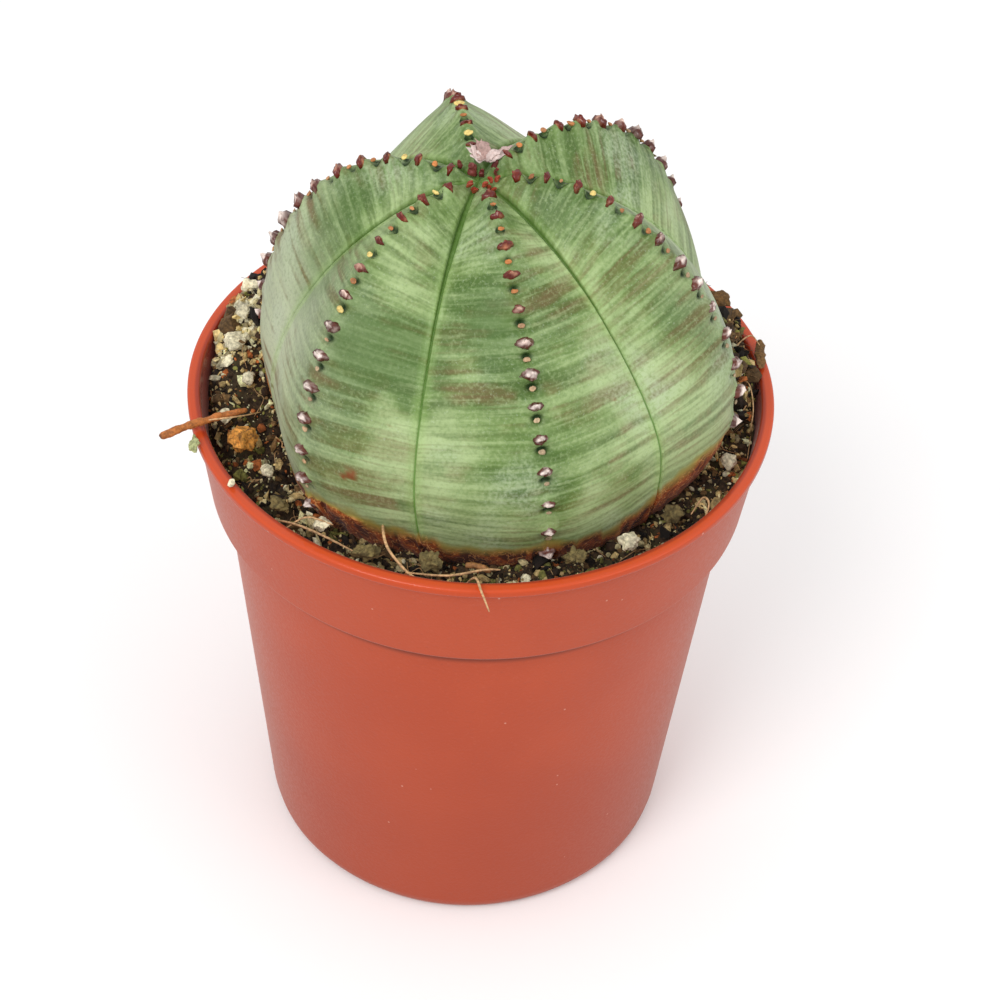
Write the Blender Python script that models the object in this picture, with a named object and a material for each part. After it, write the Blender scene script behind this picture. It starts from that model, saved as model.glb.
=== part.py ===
"""Round, six-ribbed spurge, cactus-like, growing in a small plastic nursery pot.

Metres, +Z up. The origin is the centre of the pot's underside, and the front of the plant faces -Y.
"""
import math
import random

import bmesh
import bpy
from mathutils import Matrix, Vector
from mathutils.bvhtree import BVHTree

MM = 0.001

# Clearance between pieces that touch.
GAP = 0.3 * MM

# Pot: a lip, an upright band, a step under the band and a tapering wall down to a rounded foot.
POT_HEIGHT = 63.5 * MM
RIM_RADIUS = 32.5 * MM
LIP_HEIGHT = 1.0 * MM
LIP_OVERHANG = 0.5 * MM
LIP_ROUNDING = 0.3 * MM
BAND_HEIGHT = 12.3 * MM
BAND_TAPER = 1.5 * MM
STEP_DEPTH = 1.7 * MM
STEP_DROP = 0.8 * MM
WALL = 0.9 * MM
FLOOR = 1.0 * MM
FOOT_RADIUS = 24.5 * MM
FOOT_ROUNDING = 2.2 * MM
FOOT_RING_WIDTH = 3.6 * MM
FLOOR_RECESS = 1.2 * MM
CENTRE_PAD_RADIUS = 6.0 * MM
DRAIN_HOLES = 8
DRAIN_HOLE_RADIUS = 1.8 * MM
POT_SEGMENTS = 64

# Soil: its level below the rim in front, and the heap behind the plant.
SOIL_BELOW_RIM = 3.6 * MM
HEAP_HEIGHT = 8.0 * MM
HEAP_FALL_TO_WALL = 0.3
HEAP_FALL_WIDTH = 4.0 * MM
HEAP_STARTS = -0.25
HEAP_FULL = 0.45
RIPPLE = 0.3 * MM
HOLLOW_ROWS = 12
SURFACE_ROWS = 5

# Plant: a globe of uneven ribs on a leaning axis, narrowing under the soil to a taproot.
# Each rib has a bearing in degrees and, in mm, how much further out than the others it grew.
RIBS = ((-74.0, -2.8), (-16.0, 0.6), (41.0, 1.4), (102.0, 0.7), (169.0, -0.5), (226.0, 0.0))
COLUMNS_PER_RIB = 8
WATERING_MARGIN = 4.9 * MM
GROOVE_DEPTH = 2.2 * MM
PLANT_OFF_CENTRE = Vector((1.5 * MM, 0.7 * MM, 0.0))
PLANT_BASE_BELOW_RIM = 5.0 * MM
BODY_HEIGHT = 35.2 * MM
SHOULDER_RADIUS = 7.3 * MM
SHOULDER_SHARE = 0.18
REACH_STARTS = 0.1
REACH_FULL = 0.6
CROWN_DIP = 2.1 * MM
CREST_WIDEST_HEIGHT = 9.6 * MM
GROOVE_WIDEST_HEIGHT = 9.9 * MM
UNDERSIDE_DEPTH = 24.0 * MM
ROOT_NECK_RADIUS = 6.5 * MM
ROOT_TIP_RADIUS = 0.8 * MM
ROOT_ABOVE_FLOOR = 14.0 * MM
LEAN_ANGLE = math.radians(5.7)
LEAN_TOWARD = math.radians(214.0)
CREST_ROUNDNESS = 1.90
GROOVE_ROUNDNESS = 1.83
ROOT_SLIMMING = 1.5
BODY_ROWS = 18
UNDERSIDE_ROWS = 9
ROOT_ROWS = 6

# Small things at the crown: leaves spread in an arc round its front, and a flower behind it.
CROWN_LEAVES = 5
CROWN_LEAF_LENGTH = 1.0 * MM
CROWN_LEAF_WIDTH = 0.7 * MM
CROWN_LEAF_THICKNESS = 0.4 * MM
CROWN_LEAF_FROM_MIDDLE = 2.2 * MM
CROWN_LEAF_SPACING = 34.0
FLOWER_LENGTH = 2.4 * MM
FLOWER_RADIUS = 0.9 * MM
FLOWER_HEADING = 28.0
FLOWER_THICKNESSES = (0.35, 0.8, 1.0, 0.7, 0.45)

# Loose sticks: the twig crosses the lip at a bearing; headings and bearings are in degrees.
TWIG_LENGTH = 10.4 * MM
TWIG_RADIUS = 0.43 * MM
TWIG_BEARING = -160.5
TWIG_HEADING = -149.5
TWIG_SHARE_INSIDE = 0.62
TWIG_BOW = 0.35 * MM
TWIG_SWELLING = 0.2
TWIG_STEPS = 12
STICK_LENGTH = 3.2 * MM
STICK_RADIUS = 0.35 * MM
STICK_BEARING = -88.0
STICK_HEADING = -21.0
STICK_THICKNESSES = (0.7, 1.0, 1.0, 0.6)

# Loose grains on the soil: name, bearing in degrees, place between plant (0) and pot (1),
# length, width and height in mm, and finish.
LOOSE_GRAINS = (
    ("pumice_1", 174.0, 0.62, 2.7, 2.2, 1.6, "pumice"),
    ("pumice_2", 167.0, 0.46, 2.5, 2.0, 1.6, "pumice"),
    ("pumice_3", 160.5, 0.70, 2.2, 1.9, 1.4, "pumice"),
    ("pumice_4", -178.5, 0.40, 1.9, 1.5, 1.2, "pumice"),
    ("pumice_5", -170.5, 0.74, 2.5, 1.5, 1.2, "pumice"),
    ("lava_grain", -160.0, 0.62, 3.5, 3.2, 2.8, "lava"),
    ("pumice_6", -148.5, 0.48, 2.0, 1.7, 1.4, "pumice"),
    ("grit_1", -138.0, 0.60, 2.2, 1.8, 1.5, "grit"),
    ("pumice_7", -127.0, 0.42, 1.7, 1.4, 1.2, "pumice"),
    ("grit_2", -113.0, 0.66, 2.3, 2.0, 1.7, "grit"),
    ("grit_3", -99.0, 0.52, 2.6, 2.2, 1.9, "grit"),
    ("grit_4", -66.0, 0.52, 2.6, 2.2, 1.6, "grit"),
    ("pumice_8", -52.0, 0.56, 2.4, 2.0, 1.5, "pumice"),
    ("grit_5", -38.0, 0.50, 2.2, 1.9, 1.6, "grit"),
    ("pumice_9", -16.0, 0.60, 2.3, 1.9, 1.6, "pumice"),
    ("grit_6", -5.0, 0.46, 2.4, 2.0, 1.7, "grit"),
    ("pumice_10", 5.5, 0.62, 2.2, 2.0, 1.7, "pumice"),
    ("bark_chip_1", 25.0, 0.68, 3.4, 2.4, 0.9, "bark"),
    ("bark_chip_2", 148.0, 0.50, 3.6, 2.2, 1.0, "bark"),
    ("bark_chip_3", 100.0, 0.50, 3.2, 2.4, 1.0, "bark"),
    ("grit_7", 62.0, 0.55, 2.4, 2.0, 1.6, "grit"),
    ("grit_8", 128.0, 0.55, 2.5, 2.1, 1.6, "grit"),
)
GRAIN_POINTS = 18
GRAIN_TURN = 90.0

# Things that lie across the lip: name, bearing in degrees, length, width and height in mm, finish.
LIP_PIECES = (
    ("bark_strip", 12.0, 4.4, 1.4, 0.8, "bark"),
    ("moss_crumb", -156.0, 3.2, 1.2, 0.9, "moss"),
    ("pumice_crumb", -143.0, 1.1, 0.9, 0.7, "pumice"),
)
LIP_PIECE_TURN = 65.0
# The first seed of each sort of grain, so that every piece has a shape of its own.
LIP_PIECE_SEED = 100
CROWN_LEAF_SEED = 200
# The steepest slope that a piece settles on counts as this much of upright.
STEEPEST_SLOPE = 0.45

# Colours as seen, red, green and blue from 0 to 1, then roughness.
FINISHES = {
    "pot_plastic": ((0.73, 0.35, 0.25), 0.42),
    "peat": ((0.30, 0.23, 0.15), 0.95),
    "plant_skin": ((0.62, 0.69, 0.50), 0.50),
    "dried_flower": ((0.83, 0.74, 0.68), 0.80),
    "crown_leaf": ((0.60, 0.16, 0.10), 0.55),
    "twig": ((0.66, 0.38, 0.16), 0.75),
    "pumice": ((0.85, 0.81, 0.70), 0.90),
    "grit": ((0.45, 0.39, 0.28), 0.90),
    "lava": ((0.80, 0.52, 0.22), 0.90),
    "bark": ((0.46, 0.36, 0.22), 0.90),
    "moss": ((0.58, 0.60, 0.42), 0.95),
}


def linear(channel):
    """Turn a colour channel as seen into the linear value that a shader takes."""
    if channel <= 0.04045:
        return channel / 12.92
    return ((channel + 0.055) / 1.055) ** 2.4


def finish(name):
    """Return the material of this finish, made once."""
    made = bpy.data.materials.get(name)
    if made:
        return made
    colour, roughness = FINISHES[name]
    made = bpy.data.materials.new(name)
    made.use_nodes = True
    shader = made.node_tree.nodes["Principled BSDF"]
    shader.inputs["Base Color"].default_value = [linear(channel) for channel in colour] + [1.0]
    shader.inputs["Roughness"].default_value = roughness
    shader.inputs["Metallic"].default_value = 0.0
    return made


def add_object(name, bm, finish_name, sharp_angle=35.0):
    """Put a finished bmesh into the scene as one named, smooth-shaded object."""
    bmesh.ops.recalc_face_normals(bm, faces=bm.faces)
    mesh = bpy.data.meshes.new(name)
    bm.to_mesh(mesh)
    bm.free()
    mesh.shade_smooth()
    mesh.set_sharp_from_angle(angle=math.radians(sharp_angle))
    mesh.materials.append(finish(finish_name))
    made = bpy.data.objects.new(name, mesh)
    bpy.context.collection.objects.link(made)
    return made


def loft(rings):
    """Join rings of points into one closed skin; the first and last rings are single points."""
    bm = bmesh.new()
    loops = [[bm.verts.new(point) for point in ring] for ring in rings]
    for upper, lower in zip(loops, loops[1:]):
        count = max(len(upper), len(lower))
        for i in range(count):
            j = (i + 1) % count
            corners = [upper[i % len(upper)], lower[i % len(lower)],
                       lower[j % len(lower)], upper[j % len(upper)]]
            bm.faces.new(list(dict.fromkeys(corners)))
    return bm


def smooth_step(value):
    """Rise smoothly from 0 to 1 as the value goes from 0 to 1."""
    held = min(max(value, 0.0), 1.0)
    return held * held * (3.0 - 2.0 * held)


def ring_point(radius, turn, height):
    """Point at a radius and a bearing round the upright axis, at a height."""
    return Vector((radius * math.cos(turn), radius * math.sin(turn), height))


# Pot ---------------------------------------------------------------------------------------------

def band_top_radius():
    return RIM_RADIUS - LIP_OVERHANG


def band_foot_radius():
    return band_top_radius() - BAND_TAPER


def body_top_radius():
    return band_foot_radius() - STEP_DEPTH


def step_height():
    """Height of the bottom of the band."""
    return POT_HEIGHT - BAND_HEIGHT


def ledge_height():
    """Height at which the tapering wall starts, under the step."""
    return step_height() - STEP_DROP


def inside_floor_height():
    return FLOOR_RECESS + FLOOR


def outside_radius(height):
    """Radius of the pot's outside at a height on the band or on the tapering wall."""
    if height >= step_height():
        share = (height - step_height()) / BAND_HEIGHT
        return band_foot_radius() + BAND_TAPER * share
    share = height / ledge_height()
    return FOOT_RADIUS + (body_top_radius() - FOOT_RADIUS) * share


def inside_radius(height):
    """Radius of the pot's inside at a height on the band or on the tapering wall."""
    return outside_radius(height) - WALL


def pot_profile():
    """Outline of the pot's wall from the middle of the underside, round the lip, to the inside floor."""
    outline = [
        (0.0, 0.0),
        (CENTRE_PAD_RADIUS, 0.0),
        (CENTRE_PAD_RADIUS, FLOOR_RECESS),
        (FOOT_RADIUS - FOOT_RING_WIDTH, FLOOR_RECESS),
        (FOOT_RADIUS - FOOT_RING_WIDTH, 0.0),
    ]
    for quarter in range(5):
        turn = math.radians(90.0) * quarter / 4.0
        height = FOOT_ROUNDING * (1.0 - math.cos(turn))
        outline.append((outside_radius(height) - FOOT_ROUNDING * (1.0 - math.sin(turn)), height))
    lip_bottom = POT_HEIGHT - LIP_HEIGHT
    outline += [
        (body_top_radius(), ledge_height()),
        (band_foot_radius(), step_height()),
        (outside_radius(lip_bottom), lip_bottom),
        (RIM_RADIUS, lip_bottom + LIP_ROUNDING),
        (RIM_RADIUS, POT_HEIGHT - LIP_ROUNDING),
        (RIM_RADIUS - LIP_ROUNDING, POT_HEIGHT),
        (inside_radius(POT_HEIGHT) + LIP_ROUNDING, POT_HEIGHT),
        (inside_radius(POT_HEIGHT), POT_HEIGHT - LIP_ROUNDING),
        (band_foot_radius() - WALL, step_height()),
        (body_top_radius() - WALL, ledge_height()),
        (inside_radius(inside_floor_height()), inside_floor_height()),
        (0.0, inside_floor_height()),
    ]
    return outline


def make_drain_cutter():
    """A ring of round punches, standing in the recessed floor halfway from the pad to the foot ring."""
    bm = bmesh.new()
    ring_radius = (CENTRE_PAD_RADIUS + FOOT_RADIUS - FOOT_RING_WIDTH) / 2.0
    for i in range(DRAIN_HOLES):
        turn = 2.0 * math.pi * (i + 0.5) / DRAIN_HOLES
        place = ring_point(ring_radius, turn, inside_floor_height())
        bmesh.ops.create_cone(
            bm, cap_ends=True, cap_tris=False, segments=16, radius1=DRAIN_HOLE_RADIUS,
            radius2=DRAIN_HOLE_RADIUS, depth=3.0 * inside_floor_height(), matrix=Matrix.Translation(place))
    cutter = add_object("drain_cutter", bm, "pot_plastic")
    cutter.hide_render = True
    cutter.display_type = "WIRE"
    return cutter


def make_pot():
    bm = bmesh.new()
    corners = [bm.verts.new((radius, 0.0, height)) for radius, height in pot_profile()]
    edges = [bm.edges.new(pair) for pair in zip(corners, corners[1:])]
    bmesh.ops.spin(bm, geom=corners + edges, cent=(0.0, 0.0, 0.0), axis=(0.0, 0.0, 1.0),
                   angle=2.0 * math.pi, steps=POT_SEGMENTS, use_merge=True)
    bmesh.ops.remove_doubles(bm, verts=bm.verts, dist=0.001 * MM)
    pot = add_object("pot", bm, "pot_plastic")
    holes = pot.modifiers.new("drain_holes", "BOOLEAN")
    holes.operation = "DIFFERENCE"
    holes.object = make_drain_cutter()
    return pot


# Plant -------------------------------------------------------------------------------------------

def widest_crest_radius():
    """The ribs fill the pot's mouth up to the margin left for watering."""
    return inside_radius(POT_HEIGHT) - WATERING_MARGIN


def widest_groove_radius():
    return widest_crest_radius() - GROOVE_DEPTH


def plant_frame():
    """Matrix from the plant's own upright frame, at its base, to the pot's frame."""
    turn_axis = Vector((-math.sin(LEAN_TOWARD), math.cos(LEAN_TOWARD), 0.0))
    base_height = Vector((0.0, 0.0, POT_HEIGHT - PLANT_BASE_BELOW_RIM))
    return Matrix.Translation(PLANT_OFF_CENTRE + base_height) @ Matrix.Rotation(LEAN_ANGLE, 4, turn_axis)


def superellipse(turn, roundness):
    """Level and upright shares of a quarter superellipse at an angle above level."""
    power = 2.0 / roundness
    return math.cos(turn) ** power, math.sin(turn) ** power


def crest_point(along):
    """Radius and height of a rib's crest: 0 is the middle of the crown, 1 the widest place."""
    if along < SHOULDER_SHARE:
        rise = math.sin(math.radians(90.0) * along / SHOULDER_SHARE)
        return SHOULDER_RADIUS * along / SHOULDER_SHARE, BODY_HEIGHT - CROWN_DIP * (1.0 - rise)
    turn = math.radians(90.0) * (1.0 - along) / (1.0 - SHOULDER_SHARE)
    level, upright = superellipse(max(turn, 0.0), CREST_ROUNDNESS)
    radius = SHOULDER_RADIUS + (widest_crest_radius() - SHOULDER_RADIUS) * level
    return radius, CREST_WIDEST_HEIGHT + (BODY_HEIGHT - CREST_WIDEST_HEIGHT) * upright


def groove_point(along):
    """Radius and height of a groove: 0 is the middle of the crown, 1 the widest place."""
    turn = math.radians(90.0) * (1.0 - along)
    level, upright = superellipse(max(turn, 0.0), GROOVE_ROUNDNESS)
    top = BODY_HEIGHT - CROWN_DIP
    return widest_groove_radius() * level, GROOVE_WIDEST_HEIGHT + (top - GROOVE_WIDEST_HEIGHT) * upright


def underside_point(radius, height, turn):
    """Point of the underside's arc that starts level at the widest place, at an angle below it."""
    return radius * math.cos(turn), height - UNDERSIDE_DEPTH * math.sin(turn)


def root_tip_height():
    """Height of the taproot's tip in the plant's own frame."""
    rim_above_tip = POT_HEIGHT - inside_floor_height() - ROOT_ABOVE_FLOOR
    return PLANT_BASE_BELOW_RIM - rim_above_tip / math.cos(LEAN_ANGLE)


def outline_pair(along):
    """Crest and groove points: 0 to 1 is the body, 1 to 2 its underside, 2 to 3 the taproot."""
    if along <= 1.0:
        return crest_point(along), groove_point(along)
    neck_turn = math.acos(ROOT_NECK_RADIUS / widest_crest_radius())
    turn = neck_turn * min(along - 1.0, 1.0)
    crest = underside_point(widest_crest_radius(), CREST_WIDEST_HEIGHT, turn)
    groove = underside_point(widest_groove_radius(), GROOVE_WIDEST_HEIGHT, turn)
    round_off = smooth_step(along - 1.0)
    middle = [(crest[i] + groove[i]) / 2.0 for i in range(2)]
    crest = [crest[i] + (middle[i] - crest[i]) * round_off for i in range(2)]
    groove = [groove[i] + (middle[i] - groove[i]) * round_off for i in range(2)]
    if along <= 2.0:
        return crest, groove
    share = along - 2.0
    slim = (1.0 - share) ** ROOT_SLIMMING
    radius = ROOT_TIP_RADIUS + (middle[0] - ROOT_TIP_RADIUS) * slim
    height = middle[1] + (root_tip_height() - middle[1]) * share
    return (radius, height), (radius, height)


def rib_bearing(rib):
    """Bearing of a rib's crest, counted on past a full turn."""
    turns, index = divmod(rib, len(RIBS))
    return math.radians(RIBS[index][0] + 360.0 * turns)


def rib_reach(rib, along):
    """How much further out this rib grew, from nothing at the crown to all of it on the flank."""
    grown = smooth_step((along - REACH_STARTS) / (REACH_FULL - REACH_STARTS))
    return RIBS[rib % len(RIBS)][1] * MM * grown


def body_point(along, column, clearance=0.0):
    """Point of the plant's skin in the pot's frame, or of a skin that clears it."""
    crest, groove = outline_pair(along)
    rib, step = divmod(column, COLUMNS_PER_RIB)
    half = COLUMNS_PER_RIB / 2.0
    groove_turn = (rib_bearing(rib) + rib_bearing(rib + 1)) / 2.0
    if step > half:
        rib, step = rib + 1, COLUMNS_PER_RIB - step
    share = step / half
    crest_turn = rib_bearing(rib)
    in_soil = smooth_step(along - 1.0)
    push = clearance / math.cos(groove_turn - crest_turn)
    crest_radius = crest[0] + rib_reach(rib, along) * (1.0 - in_soil) + push
    groove_radius = groove[0] + push
    crest_at = ring_point(crest_radius, crest_turn, crest[1])
    groove_at = ring_point(groove_radius, groove_turn, groove[1])
    flat = crest_at.lerp(groove_at, share)
    turn = crest_turn + (groove_turn - crest_turn) * share
    radius = crest_radius + (groove_radius - crest_radius) * share
    rounded = ring_point(radius, turn, flat.z)
    skin = flat.lerp(rounded, in_soil)
    return plant_frame() @ (skin - Vector((0.0, 0.0, clearance)))


def columns():
    return range(len(RIBS) * COLUMNS_PER_RIB)


def make_plant():
    """The whole grown body, from the middle of its crown to the tip of its taproot."""
    body_rows = [i / BODY_ROWS for i in range(1, BODY_ROWS + 1)]
    underside_rows = [1.0 + i / UNDERSIDE_ROWS for i in range(1, UNDERSIDE_ROWS + 1)]
    root_rows = [2.0 + i / ROOT_ROWS for i in range(1, ROOT_ROWS + 1)]
    rows = body_rows + underside_rows + root_rows
    rings = [[body_point(along, column) for column in columns()] for along in rows]
    crown = [body_point(0.0, 0)]
    tip = [plant_frame() @ Vector((0.0, 0.0, root_tip_height() - ROOT_TIP_RADIUS))]
    return add_object("plant_stem", loft([crown] + rings + [tip]), "plant_skin")


# Soil --------------------------------------------------------------------------------------------

def soil_wall_radius(height):
    """Radius of the soil against the pot's wall at a height."""
    return inside_radius(height) - GAP


def soil_level(x, y):
    """Height of the soil's surface: low in front, heaped behind, falling towards the wall."""
    radius = math.hypot(x, y)
    bearing = math.atan2(y, x)
    heap = smooth_step((math.sin(bearing) - HEAP_STARTS) / (HEAP_FULL - HEAP_STARTS))
    wall_radius = soil_wall_radius(POT_HEIGHT)
    to_wall = smooth_step((radius - wall_radius + HEAP_FALL_WIDTH) / HEAP_FALL_WIDTH)
    rise = HEAP_HEIGHT * heap * (1.0 - HEAP_FALL_TO_WALL * to_wall)
    ripple = RIPPLE * (math.sin(5.0 * bearing + 1.0) + math.sin(9.0 * bearing)) / 2.0
    return POT_HEIGHT - SOIL_BELOW_RIM + rise + ripple


def soil_line(column):
    """How far along the plant's outline the soil's surface meets this column, clear of the skin.

    Halves a stretch that starts well up the flank and ends at the root's neck until it is a point.
    """
    high, low = REACH_FULL, 2.0
    for _ in range(30):
        middle = (high + low) / 2.0
        point = body_point(middle, column, GAP)
        if point.z > soil_level(point.x, point.y):
            high = middle
        else:
            low = middle
    return low


def soil_ring_point(bearing, share):
    """Point on the soil's surface at a bearing, a share of the way from the plant to the wall."""
    best = min(columns(), key=lambda column: bearing_error(column, bearing))
    inner = body_point(soil_line(best), best, GAP)
    inner_radius = math.hypot(inner.x, inner.y)
    outer_radius = soil_wall_radius(POT_HEIGHT - SOIL_BELOW_RIM)
    radius = inner_radius + (outer_radius - inner_radius) * share
    x, y = radius * math.cos(bearing), radius * math.sin(bearing)
    return Vector((x, y, soil_level(x, y)))


def bearing_error(column, bearing):
    """Difference between a bearing and that of this column's edge of the soil."""
    inner = body_point(1.0, column)
    difference = math.atan2(inner.y, inner.x) - bearing
    return abs(math.remainder(difference, 2.0 * math.pi))


def make_soil():
    """Peat from the hollow round the taproot, over the surface and down the pot's wall to its floor."""
    edges = [soil_line(column) for column in columns()]
    rings = []
    for row in range(HOLLOW_ROWS):
        share = row / HOLLOW_ROWS
        rings.append([body_point(3.0 + (edges[column] - 3.0) * share, column, GAP) for column in columns()])
    edge_points = [body_point(edges[column], column, GAP) for column in columns()]
    bearings = [math.atan2(point.y, point.x) for point in edge_points]
    outer_radius = soil_wall_radius(POT_HEIGHT - SOIL_BELOW_RIM)
    outer_points = [ring_point(outer_radius, turn, 0.0) for turn in bearings]
    rings.append(edge_points)
    for row in range(1, SURFACE_ROWS + 1):
        ring = []
        for inner, outer in zip(edge_points, outer_points):
            x = inner.x + (outer.x - inner.x) * row / SURFACE_ROWS
            y = inner.y + (outer.y - inner.y) * row / SURFACE_ROWS
            ring.append(Vector((x, y, soil_level(x, y))))
        rings.append(ring)
    bottom = inside_floor_height() + GAP
    wall_heights = (step_height() + GAP, ledge_height() + GAP, bottom)
    wall_radii = (band_foot_radius() - WALL - GAP, body_top_radius() - WALL - GAP, soil_wall_radius(bottom))
    for height, radius in zip(wall_heights, wall_radii):
        rings.append([ring_point(radius, turn, height) for turn in bearings])
    hollow_tip = plant_frame() @ Vector((0.0, 0.0, root_tip_height() - ROOT_TIP_RADIUS - GAP))
    return add_object("soil", loft([[hollow_tip]] + rings + [[Vector((0.0, 0.0, bottom))]]), "peat")


# Loose pieces ------------------------------------------------------------------------------------

def set_down(piece, supports):
    """Lift or lower a piece until it rests on what is below it, the usual clearance off its slopes."""
    bpy.context.view_layer.update()
    above = 2.0 * POT_HEIGHT
    trees = [BVHTree.FromObject(support, bpy.context.evaluated_depsgraph_get()) for support in supports]
    lifts = []
    for vertex in piece.data.vertices:
        corner = piece.matrix_world @ vertex.co
        for tree in trees:
            hit, normal = tree.ray_cast(Vector((corner.x, corner.y, above)), Vector((0.0, 0.0, -1.0)))[:2]
            if hit:
                lifts.append(hit.z + GAP / max(normal.z, STEEPEST_SLOPE) - corner.z)
    piece.location.z += max(lifts)
    bpy.context.view_layer.update()


def make_grain(name, place, turn, size, finish_name, seed):
    """An angular grain: the hull of scattered points on a flattened ball."""
    dice = random.Random(seed)
    bm = bmesh.new()
    for _ in range(GRAIN_POINTS):
        point = Vector((dice.gauss(0.0, 1.0), dice.gauss(0.0, 1.0), dice.gauss(0.0, 1.0))).normalized()
        scaled = [point[i] * size[i] / 2.0 for i in range(3)]
        bm.verts.new(Matrix.Rotation(turn, 3, "Z") @ Vector(scaled))
    hull = bmesh.ops.convex_hull(bm, input=bm.verts)
    loose = [element for element in hull["geom_interior"] if isinstance(element, bmesh.types.BMVert)]
    bmesh.ops.delete(bm, geom=loose, context="VERTS")
    grain = add_object(name, bm, finish_name, 20.0)
    grain.location = place
    return grain


def make_stick(name, points, radii, finish_name):
    """A round stick along a few points, with filled ends."""
    curve = bpy.data.curves.new(name, "CURVE")
    curve.dimensions = "3D"
    curve.bevel_depth = 1.0
    curve.bevel_resolution = 2
    curve.use_fill_caps = True
    line = curve.splines.new("POLY")
    line.points.add(len(points) - 1)
    for spot, point, radius in zip(line.points, points, radii):
        spot.co = (*point, 1.0)
        spot.radius = radius
    guide = bpy.data.objects.new(name + "_guide", curve)
    bpy.context.collection.objects.link(guide)
    bpy.context.view_layer.update()
    bm = bmesh.new()
    bm.from_mesh(guide.to_mesh())
    guide.to_mesh_clear()
    bpy.data.objects.remove(guide)
    bmesh.ops.remove_doubles(bm, verts=bm.verts, dist=0.001 * MM)
    return add_object(name, bm, finish_name, 50.0)


def make_twig(supports):
    """A tapering twig that lies across the lip on the left and sticks out past it."""
    bearing = math.radians(TWIG_BEARING)
    heading = math.radians(TWIG_HEADING)
    middle = ring_point(RIM_RADIUS, bearing, 0.0)
    along = ring_point(1.0, heading, 0.0)
    points, radii = [], []
    for i in range(TWIG_STEPS + 1):
        share = i / TWIG_STEPS
        bow = TWIG_BOW * math.sin(math.pi * share)
        at = middle + along * TWIG_LENGTH * (share - TWIG_SHARE_INSIDE) + Vector((0.0, bow, 0.0))
        points.append(at)
        radii.append(TWIG_RADIUS * (1.0 - TWIG_SWELLING * math.cos(2.0 * math.pi * share)))
    twig = make_stick("twig", points, radii, "twig")
    twig.location.z = POT_HEIGHT
    set_down(twig, supports)


def make_short_stick(soil):
    """A short brown stick that lies on the soil in front."""
    place = soil_ring_point(math.radians(STICK_BEARING), 0.5)
    heading = ring_point(1.0, math.radians(STICK_HEADING), 0.0)
    last = len(STICK_THICKNESSES) - 1
    points = [place + heading * STICK_LENGTH * (i / last - 0.5) for i in range(last + 1)]
    stick = make_stick("short_stick", points, [STICK_RADIUS * k for k in STICK_THICKNESSES], "twig")
    set_down(stick, [soil])


def make_grains(soil):
    grains = []
    for index, (name, degrees, share, length, width, height, finish_name) in enumerate(LOOSE_GRAINS):
        bearing = math.radians(degrees)
        place = soil_ring_point(bearing, share)
        size = (length * MM, width * MM, height * MM)
        turn = bearing + math.radians(GRAIN_TURN)
        grain = make_grain(name, place, turn, size, finish_name, index)
        set_down(grain, [soil])
        grains.append(grain)
    return grains


def make_lip_pieces(pot):
    """Crumbs and a strip of bark that lie on the lip."""
    lip_middle = (RIM_RADIUS + inside_radius(POT_HEIGHT)) / 2.0
    for index, (name, degrees, length, width, height, finish_name) in enumerate(LIP_PIECES):
        bearing = math.radians(degrees)
        place = ring_point(lip_middle, bearing, POT_HEIGHT)
        size = (length * MM, width * MM, height * MM)
        turn = bearing + math.radians(LIP_PIECE_TURN)
        piece = make_grain(name, place, turn, size, finish_name, LIP_PIECE_SEED + index)
        set_down(piece, [pot])


def make_crown(plant):
    """Tiny leaves round the growing tip and the dried remnant of a flower behind it."""
    top = plant_frame() @ Vector((0.0, 0.0, BODY_HEIGHT))
    for i in range(CROWN_LEAVES):
        bearing = rib_bearing(0) + math.radians(CROWN_LEAF_SPACING) * (i - (CROWN_LEAVES - 1) / 2.0)
        place = top + ring_point(CROWN_LEAF_FROM_MIDDLE, bearing, 0.0)
        size = (CROWN_LEAF_THICKNESS, CROWN_LEAF_WIDTH, CROWN_LEAF_LENGTH)
        leaf = make_grain(f"crown_leaf_{i + 1}", place, bearing, size, "crown_leaf", CROWN_LEAF_SEED + i)
        set_down(leaf, [plant])
    heading = ring_point(1.0, math.radians(FLOWER_HEADING), 0.0)
    behind = top + Vector((0.0, FLOWER_LENGTH, 0.0))
    last = len(FLOWER_THICKNESSES) - 1
    points = [behind + heading * FLOWER_LENGTH * (i / last - 0.5) for i in range(last + 1)]
    radii = [FLOWER_RADIUS * k for k in FLOWER_THICKNESSES]
    flower = make_stick("dried_flower", points, radii, "dried_flower")
    set_down(flower, [plant])


def main():
    for old in list(bpy.data.objects):
        bpy.data.objects.remove(old, do_unlink=True)
    pot = make_pot()
    plant = make_plant()
    soil = make_soil()
    grains = make_grains(soil)
    make_twig([pot, soil] + grains)
    make_short_stick(soil)
    make_lip_pieces(pot)
    make_crown(plant)


main()
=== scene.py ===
# Looks of a small round ribbed succulent in a plastic nursery pot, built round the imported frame.
# Lengths in the code are millimetres from the centre of the pot's underside, with z up and the
# front towards -y; newPiece turns them into metres.
import math

import bpy
import numpy as np
from mathutils import Matrix, Vector


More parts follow.
